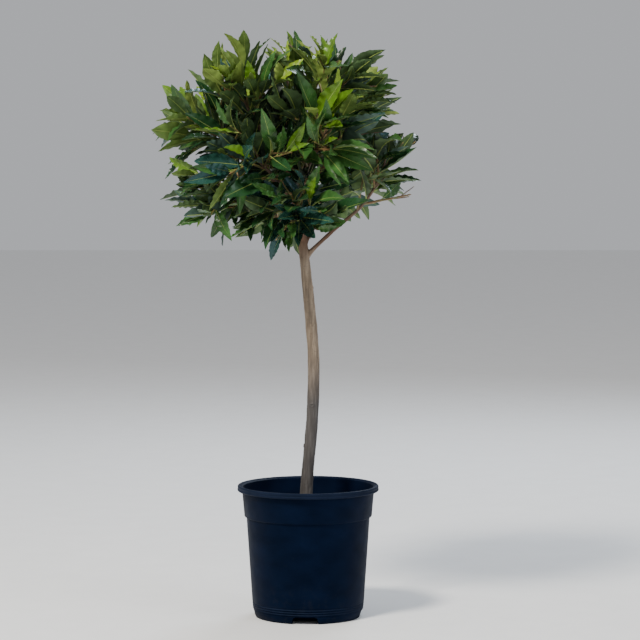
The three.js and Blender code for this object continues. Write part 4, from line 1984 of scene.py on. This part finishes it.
@dataclass
class Limbs:
    """The bare stem and the boughs as one skin with the relief of bark."""

    crown: Crown
    grain: float = 0.85
    crease: float = 80
    ground: float = 155.6
    trunk_steps: int = 90
    trunk_sides: int = 24
    bough_steps: int = 26
    bough_sides: int = 16
    bough_taper: float = 0.7
    collar: float = 2.0
    collar_start: float = 6
    collar_length: float = 5
    batch: int = 4000
    fissure_size: Span = (1.5, 16)
    fissure_height: float = 0.30
    crack_depth: float = 0.66
    crack_from: float = 0.18
    lump_size: Span = (14, 22)
    lump_detail: Triple = (0.8, 2.0, 3)
    lump_height: float = 0.42
    scars: tuple[Scar, ...] = (
        Scar(309, 262, 2.6), Scar(425, 285, 2.2), Scar(355, 95, 2.4),
        Scar(479, 30, 2.4), Scar(249, 180, 2.0),
    )
    scar_stretch: Triple = (1, 1, 1.25)
    scar_rim: float = 1.1
    scar_pit: float = 0.9
    scar_fade: float = 3

    def outline(self) -> Gathered:
        """Lays out the limbs.

        Returns:
            Closed tubes that run into each other.
        """
        solid, trunk, steps = Gathered(), self.crown.trunk, self.trunk_steps
        line = trunk.curve.points(steps)
        radii = np.array([trunk.radius(i / steps) for i in range(steps + 1)])
        keep = line[:, 2] > self.ground
        solid.add_tube(line[keep], radii[keep], self.trunk_sides)
        for row in (m for m in MASSES if m.radius):
            line = self.crown.bough_curve(row).points(self.bough_steps)
            taper = mixed(1, self.bough_taper, np.linspace(0, 1, self.bough_steps + 1))
            beyond = np.clip(np.linalg.norm(line - line[0], axis=1) - self.collar_start, 0, None)
            radii = row.radius * taper + self.collar * np.exp(-beyond / self.collar_length)
            solid.add_tube(line, radii, self.bough_sides)
        return solid

    def wrap(self, points: Points) -> tuple[Points, Points]:
        """Finds where points lie on the limbs.

        Args:
            points: the points, in millimetres.

        Returns:
            The offset of each from its limb's line, and its place along the limbs.
        """
        crown, offsets, places = self.crown, [], []
        lengths = np.linalg.norm(crown.limb_run, axis=1)
        reached = np.concatenate([[0], np.cumsum(lengths)[:-1]])
        for part in np.array_split(points, max(1, len(points) // self.batch)):
            off = part[:, None] - crown.limb_from
            share = np.clip((off * crown.limb_run).sum(axis=2) / lengths**2, 0, 1)
            rest = off - crown.limb_run * share[..., None]
            nearest = np.argmin(np.linalg.norm(rest, axis=2) - crown.limb_radius, axis=1)
            rows = np.arange(len(part))
            offsets.append(rest[rows, nearest])
            places.append(reached[nearest] + share[rows, nearest] * lengths[nearest])
        return np.concatenate(offsets), np.concatenate(places)

    def scarred(self, points: Points, scar: Scar) -> Points:
        """Gives the relief of a scar, a rim round a pit.

        Args:
            points: the points of the skin.
            scar: the scar.

        Returns:
            How far it raises each point.
        """
        bearing = level_way(math.radians(scar.bearing))
        spot = self.crown.trunk.at_height(scar.height) + self.crown.trunk.foot_radius * bearing
        apart = np.linalg.norm((points - spot) * self.scar_stretch, axis=1) / scar.size
        rim = self.scar_rim * np.exp(-((apart - 1) ** 2) * self.scar_fade)
        return rim - self.scar_pit * np.exp(-(apart**2) * self.scar_fade)

    def relief(self, mesh: bpy.types.Mesh) -> None:
        """Presses fissures, lumps and branch scars into the skin.

        Args:
            mesh: the skin, in metres.
        """
        count = len(mesh.vertices)
        points, normals = np.zeros(count * 3, np.float32), np.zeros(count * 3, np.float32)
        mesh.vertices.foreach_get("co", points)
        mesh.vertices.foreach_get("normal", normals)
        points, normals = points.reshape(-1, 3) / MM, normals.reshape(-1, 3)
        offsets, places = self.wrap(points)
        fine, broad = offsets / self.fissure_size[0], offsets / self.lump_size[0]
        fine[:, 2] += places / self.fissure_size[1]
        broad[:, 2] = places / self.lump_size[1]
        fissure = np.array([noise.noise(Vector(spot)) for spot in fine])
        lump = np.array([noise.fractal(Vector(spot), *self.lump_detail) for spot in broad])
        crack = np.clip(-fissure - self.crack_from, 0, 1)
        push = self.fissure_height * fissure - self.crack_depth * crack + self.lump_height * lump
        for scar in self.scars:
            push = push + self.scarred(points, scar)
        moved = points + normals * push[:, None]
        mesh.vertices.foreach_set("co", (moved * MM).astype(np.float32).ravel())
        mesh.update()

    def build(self) -> Piece:
        """Builds the skin of all the limbs.

        Returns:
            The piece.
        """
        rough = self.outline().make("limbs_rough")
        mesh = shaped(rough, "REMESH", mode="VOXEL", voxel_size=self.grain * MM)
        self.relief(mesh)
        mesh.materials.append(BarkFinish().material())
        piece = linked("trunk_and_boughs", mesh, self.crease)
        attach(piece, "root")
        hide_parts("trunk", *[f"bough_{m.name}" for m in MASSES if m.radius])
        return piece


@dataclass
class NurseryPot:
    """A tapered plastic pot with a rolled lip, a collar, and notches and ridges at its foot."""

    height: float = 192
    rim_radius: float = 103
    lip_height: float = 8.6
    collar_top: float = 96
    collar_foot: float = 92.9
    collar_drop: float = 45
    step_height: float = 3
    body_top: float = 89.6
    body_foot: float = 81.6
    body_steps: int = 8
    foot_top: float = 80.2
    foot_radius: float = 76.5
    foot_height: float = 22
    lip_turns: tuple[float, ...] = (-90, -60, -30, 0, 30)
    bead_turns: tuple[float, ...] = (-20, 0, 25, 50, 75, 100, 130, 160)
    wall: float = 1.9
    well: float = 12.7
    recess: float = 2.2
    heel: tuple[Span, ...] = ((-1.0, 0), (0.6, 0.5), (1.6, 2.2), (2.6, 5.5), (3.4, 10.4))
    ridges: int = 3
    ridge_pitch: float = 3.5
    ridge_shape: tuple[Span, ...] = ((-0.5, 0), (0.5, 0.4), (0.6, 1.3), (-0.3, 2.6))
    segments: int = 160
    notch_size: Triple = (37, 10.5, 20)
    notch_corner: Span = (1.5, 5)
    notch_count: int = 4
    notch_turn: float = -93
    hole_radius: float = 5
    hole_rings: tuple[tuple[float, int], ...] = ((26, 4), (50, 8))
    hole_heights: Triple = (-3.0, 2.0, 7.0)
    hole_sides: int = 20
    # ridge faces that tilt upward more than this take the pale finish: partly wear and dust,
    # partly a painted highlight
    worn_and_highlit_slope: float = 0.3
    crease: float = 38

    def foot(self) -> list[Span]:
        """Lays out the underside and the foot.

        Returns:
            Their profile, up to the lowest ridge.
        """
        edge, recess = self.foot_radius, self.recess
        underside = [(0, recess), (8, recess), (9, recess + 0.6), (edge - 12, recess)]
        heel = [(edge - 8, 0), *[(edge + out, height) for out, height in self.heel]]
        return underside + heel

    def ridged(self) -> list[Span]:
        """Lays out the ridges round the foot.

        Returns:
            Their profile.
        """
        ribs = []
        for k in range(self.ridges):
            low = self.well - 1.2 + self.ridge_pitch * k
            line = mixed(self.foot_radius + 3.5, self.body_foot - 0.4, (low - 11) / 11)
            ribs += [(line + out, low + up) for out, up in self.ridge_shape]
        return ribs

    def outside(self) -> list[Span]:
        """Lays out the underside and the outside.

        Returns:
            Their profile, up to the lip's inner edge.
        """
        collar, lip = self.height - self.collar_drop, self.height - self.lip_height
        low, high, steps = self.foot_height + 1.2, collar - self.step_height - 1, self.body_steps
        shares = [k / steps for k in range(steps + 1)]
        return [
            *self.foot(),
            *self.ridged(),
            (self.body_foot - 0.1, self.foot_height + 0.4),
            *[(mixed(self.body_foot, self.body_top, s), mixed(low, high, s)) for s in shares],
            (self.body_top + 0.3, collar - 1.6),
            (self.collar_foot - 0.6, collar - 0.5),
            (self.collar_foot, collar + 0.4),
            (self.collar_top, lip - 0.3),
            (self.collar_top + 0.6, lip),
            *arc((self.rim_radius - 2.0, lip + 2.2), (2.0, 2.2), self.lip_turns),
            (self.rim_radius - 0.75, lip + 3.9),
            *arc((self.rim_radius - 2.6, self.height - 2.4), (2.3, 2.4), self.bead_turns),
        ]

    def inside(self) -> list[Span]:
        """Lays out the inside.

        Returns:
            Its profile, from the lip down to the well.
        """
        collar = self.height - self.collar_drop
        return [
            (self.collar_top + 1.2, self.height - 0.9),
            (self.collar_top - self.wall + 0.5, self.height - 2.6),
            (self.collar_top - self.wall, self.height - 5),
            (self.collar_foot - self.wall, collar + 1),
            (self.body_top - self.wall, collar - self.step_height - 1),
            (self.foot_top - self.wall, self.well + 4),
            (self.foot_top - self.wall - 4, self.well),
            (0, self.well),
        ]

    def is_worn_and_highlit(self, middle: Vector, normal: Vector) -> bool:
        """Tells if a face is rubbed pale and carries a painted highlight, on the rolled lip or a
        ridge's upper side.

        Args:
            middle: the face's middle.
            normal: the way that it faces.

        Returns:
            True where it is.
        """
        reach = math.hypot(middle.x, middle.y)
        if middle.z > self.height - self.lip_height:
            return reach > self.collar_top + 1
        at_ridges = self.well - 2 < middle.z < self.foot_height + 1.5
        return at_ridges and reach > self.foot_radius + 2 and normal.z > self.worn_and_highlit_slope

    def notch(self, turn: float) -> tuple[Points, Points]:
        """Gives a block with two round upper corners, which cuts one notch.

        Args:
            turn: the notch's bearing, in radians.

        Returns:
            The corners of its inner and outer ends, and the faces of its sides.
        """
        width, height, depth = self.notch_size
        half, (small, large) = width / 2, self.notch_corner
        corner = [(half, height - large), (half - small, height - small), (half - large, height)]
        arch = [(-half, -2), (half, -2), *corner, *[(-x, z) for x, z in corner[::-1]]]
        out = level_way(turn)
        across = np.cross(UP, out)
        rings = [
            [out * reach + across * x + UP * z for x, z in arch]
            for reach in (self.foot_radius - depth, self.foot_radius + 12)
        ]
        return np.array(rings).reshape(-1, 3), ring_faces(2, len(arch))

    def cutters(self) -> Gathered:
        """Lays out what is cut from the pot.

        Returns:
            The notches in the foot and the blind drain holes under it.
        """
        tools = Gathered()
        for k in range(self.notch_count):
            rings, sides = self.notch(math.radians(self.notch_turn + 360 * k / self.notch_count))
            near = np.arange(len(rings) // 2)[None]
            tools.add(rings, (sides, 0), (near[:, ::-1], 0), (near + near.size, 0))
        for reach, count in self.hole_rings:
            for k in range(count):
                spot = reach * level_way(FULL_TURN * (k + 0.5) / count)
                line = spot + np.outer(self.hole_heights, UP)
                tools.add_tube(line, np.full(len(line), self.hole_radius), self.hole_sides)
        return tools

    def build(self) -> Piece:
        """Builds the pot.

        Returns:
            The piece.
        """
        body = turned([*self.outside(), *self.inside()], self.segments).make("pot_rough")
        tools = self.cutters().make("pot_cutters")
        cut = {"operation": "DIFFERENCE", "object": tools, "solver": "EXACT", "use_self": False}
        mesh = shaped(body, "BOOLEAN", **cut)
        bpy.data.objects.remove(tools)
        mesh.materials.clear()
        # the paler finish of the lip and the ridge tops: wear and dust, with a painted highlight
        wear_and_painted_light = PotFinish("pot_worn_and_highlit_edge", (0.0070, 0.0110, 0.0240))
        for finish in (PotFinish("pot_plastic"), wear_and_painted_light):
            mesh.materials.append(finish.material())
        for face in mesh.polygons:
            face.material_index = int(self.is_worn_and_highlit(face.center / MM, face.normal))
        piece = linked("nursery_pot", mesh, self.crease)
        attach(piece, "root")
        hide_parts("pot")
        return piece


@dataclass(frozen=True)
class Litter:
    """One kind of lump that lies on the compost, with its proportions and its sizes."""

    name: str
    count: int
    proportions: Triple
    sizes: Span
    finish: GrainFinish


@dataclass
class Compost:
    """The surface of the potting compost, with crumbs, bark chips and white grit on it."""

    level: float = 153
    mound: float = 3.5
    mound_reach: float = 34
    rough: float = 0.9
    rough_size: float = 9
    rough_slice: float = 3.1
    rough_detail: Triple = (0.7, 2.1, 4)
    settling: float = 0.6
    radius: float = 90.3
    skirt: float = 6
    undercut: float = 0.995
    rings: int = 60
    ring_power: float = 0.8
    spokes: int = 168
    soil: GrainFinish = GrainFinish(
        "compost_soil", (0.052, 0.034, 0.022), (0.014, 0.009, 0.006), 3.2
    )
    litter: tuple[Litter, ...] = (
        Litter(
            "compost_crumbs", 420, (1, 0.85, 0.7), (1.0, 3.2),
            GrainFinish("crumb_soil", (0.050, 0.032, 0.020), (0.018, 0.011, 0.007), 1.6),
        ),
        Litter(
            "bark_chips", 70, (1.7, 0.8, 0.3), (2.2, 5.2),
            GrainFinish("chip_wood", (0.150, 0.085, 0.045), (0.060, 0.032, 0.018), 2.4, 0.85),
        ),
        Litter(
            "white_grit", 46, (1, 0.9, 0.85), (0.7, 1.5),
            GrainFinish("grit_stone", (0.62, 0.60, 0.55), (0.42, 0.40, 0.36), 0.9, 0.8),
        ),
    )
    seed: int = 88000
    kind_stride: int = 7919
    bare_edge: float = 6
    bare_middle: float = 0.028
    tilt: float = 0.5
    bump: float = 0.35
    bump_pace: float = 1.4
    seat: float = 0.35
    smooth: float = 180
    lump_crease: float = 60

    def height(self, x: float, y: float) -> float:
        """Gives the surface's height at a place.

        Args:
            x: its place to the right.
            y: its place to the back.

        Returns:
            The height.
        """
        rise = self.mound * math.exp(-((math.hypot(x, y) / self.mound_reach) ** 2))
        spot = Vector((x / self.rough_size, y / self.rough_size, self.rough_slice))
        crumbs = self.rough * noise.fractal(spot, *self.rough_detail)
        return self.level + rise + crumbs - self.settling

    def spot(self, reach: float, turn: float) -> list[float]:
        """Returns the point of the surface at a distance from the middle and a bearing."""
        x, y = reach * math.cos(turn), reach * math.sin(turn)
        return [x, y, self.height(x, y)]

    def surface(self) -> Piece:
        """Builds the crumbly surface as a shallow closed cake.

        Returns:
            The piece.
        """
        turns = even_turns(self.spokes)
        reaches = np.linspace(0, 1, self.rings + 1)[1:] ** self.ring_power * self.radius
        top = [self.spot(reach, turn) for reach in reaches for turn in turns]
        edge, foot = reaches[-1] * self.undercut, self.level - self.skirt
        hem = [[edge * math.cos(turn), edge * math.sin(turn), foot] for turn in turns]
        ends, solid = [self.spot(0, 0), [0, 0, foot]], Gathered()
        solid.add_rings(np.array([*top, *hem, *ends]), self.rings + 1, flipped=True)
        return solid.make("compost_surface", [self.soil.material()], self.smooth)

    def scatter(self, litter: Litter, kind: int) -> Piece:
        """Scatters lumps of one kind over the surface.

        Args:
            litter: the kind.
            kind: its number, which keeps its places apart from the others'.

        Returns:
            The piece.
        """
        (ball, faces), solid = lump_shape(), Gathered()
        for k in range(litter.count):
            own = SeededNumbers(self.seed + kind * self.kind_stride + k)
            turn = own.within(0, FULL_TURN)
            reach = (self.radius - self.bare_edge) * math.sqrt(own.within(self.bare_middle, 1))
            size, spin = own.within(*litter.sizes), own.within(0, math.pi)
            tilt = own.around(self.tilt)
            points = ball * np.array(litter.proportions) * size
            bumps = [noise.noise(Vector(p / size * self.bump_pace + (k, 0, 0))) for p in points]
            points = points * (1 + self.bump * np.array(bumps)[:, None])
            spun = np.array(Matrix.Rotation(-spin, 3, "Z"))
            tilted = np.array(Matrix.Rotation(-tilt, 3, "X"))
            lifted = UP * (size * litter.proportions[2] * self.seat)
            solid.add(points @ spun @ tilted + self.spot(reach, turn) + lifted, (faces, 0))
        return solid.make(litter.name, [litter.finish.material()], self.lump_crease)

    def build(self) -> list[Piece]:
        """Builds the surface and what lies on it.

        Returns:
            The pieces.
        """
        kinds = enumerate(self.litter, 1)
        pieces = [self.surface(), *(self.scatter(litter, kind) for kind, litter in kinds)]
        for piece in pieces:
            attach(piece, "root")
        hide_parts("compost")
        return pieces


def lump_shape() -> tuple[Points, Points]:
    """Makes a round lump of 80 faces.

    Returns:
        Its corners and its faces.
    """
    mesh, lump = bpy.data.meshes.new("lump"), bmesh.new()
    bmesh.ops.create_icosphere(lump, subdivisions=2, radius=1.0)
    lump.to_mesh(mesh)
    lump.free()
    corners = np.array([v.co for v in mesh.vertices])
    faces = np.array([list(p.vertices) for p in mesh.polygons])
    bpy.data.meshes.remove(mesh)
    return corners, faces


# Floor, light and camera


@dataclass(frozen=True)
class Lamp:
    """One soft square light: where it hangs, what it faces, its side, its watts and its colour."""

    name: str
    place: Triple
    aim: Triple
    size: float
    power: float
    colour: Colour

    def hang(self) -> None:
        """Hangs the light in the scene."""
        data = bpy.data.lights.new(self.name, "AREA")
        data.size, data.energy, data.color = self.size, self.power, self.colour
        light = bpy.data.objects.new(self.name, data)
        light.location = self.place
        back = Vector(self.place) - Vector(self.aim)
        light.rotation_euler = back.to_track_quat("Z", "Y").to_euler()
        bpy.context.scene.collection.objects.link(light)


@dataclass
class Studio:
    """A plain pale floor, soft light and the camera at the photograph's angle, in metres."""

    camera_place: Triple = (0.0173, -3.906, 0.707)
    camera_pitch: float = 4.025
    lens: float = 151.9
    sensor: float = 36
    farthest: float = 100
    floor_size: float = 24
    floor_gap: float = 0.0002
    floor_colour: Colour = (0.88, 0.875, 0.865)
    floor_shade: float = 0.97
    floor_cloud: Cloud = Cloud(60)
    floor_places: Span = (0.3, 0.7)
    floor_roughness: float = 0.9
    floor_specular: float = 0.2
    sky: Colour = (0.86, 0.88, 0.92)
    sky_strength: float = 0.55
    lamps: tuple[Lamp, ...] = (
        Lamp("key", (-1.3, -1.9, 2.9), (0, 0, 0.55), 0.6, 150, (1.0, 0.95, 0.86)),
        Lamp("fill", (2.4, -1.8, 1.3), (0, 0, 0.5), 1.6, 26, (0.85, 0.92, 1.0)),
        Lamp("rim", (0.9, 2.2, 2.2), (0, 0, 0.6), 1.2, 50, (0.78, 0.88, 1.0)),
    )

    def set_camera(self) -> None:
        """Sets the camera."""
        data = bpy.data.cameras.new("camera")
        data.lens, data.sensor_width, data.clip_end = self.lens, self.sensor, self.farthest
        camera = bpy.data.objects.new("camera", data)
        camera.location = self.camera_place
        camera.rotation_euler = (math.radians(90 - self.camera_pitch), 0, 0)
        bpy.context.scene.collection.objects.link(camera)
        bpy.context.scene.camera = camera

    def lay_floor(self) -> None:
        """Lays the floor just under the pot."""
        square = np.array([[-1, -1, 0], [1, -1, 0], [1, 1, 0], [-1, 1, 0]])
        solid = Gathered()
        corners = square * (self.floor_size / 2 / MM) - UP * (self.floor_gap / MM)
        solid.add(corners, (np.arange(4)[None], 0))
        shader = Shader("floor_paint", self.floor_roughness, self.floor_specular)
        colours = shade(self.floor_colour, self.floor_shade), self.floor_colour
        stops = list(zip(self.floor_places, colours))
        shader.colour(shader.ramp(shader.noise(self.floor_cloud), stops))
        solid.make("floor", [shader.material])

    def light(self) -> None:
        """Sets the sky and hangs the lights."""
        world = bpy.data.worlds.new("sky")
        world.use_nodes = True
        background = world.node_tree.nodes["Background"]
        background.inputs["Color"].default_value = (*self.sky, 1)
        background.inputs["Strength"].default_value = self.sky_strength
        bpy.context.scene.world = world
        for lamp in self.lamps:
            lamp.hang()


def report(pieces: Sequence[Piece]) -> None:
    """Reports the pieces through the log."""
    for piece in pieces:
        LOG.info("%s: %d faces", piece.name, len(piece.data.polygons))


def main() -> None:
    """Builds the whole scene."""
    logging.basicConfig(level=logging.INFO, format="%(name)s: %(message)s")
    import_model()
    studio, crown = Studio(), Crown()
    studio.set_camera()
    report([NurseryPot().build()])
    report(Compost().build())
    report([Limbs(crown).build()])
    report(Head(crown).build())
    studio.lay_floor()
    studio.light()


if __name__ == "__main__":
    main()
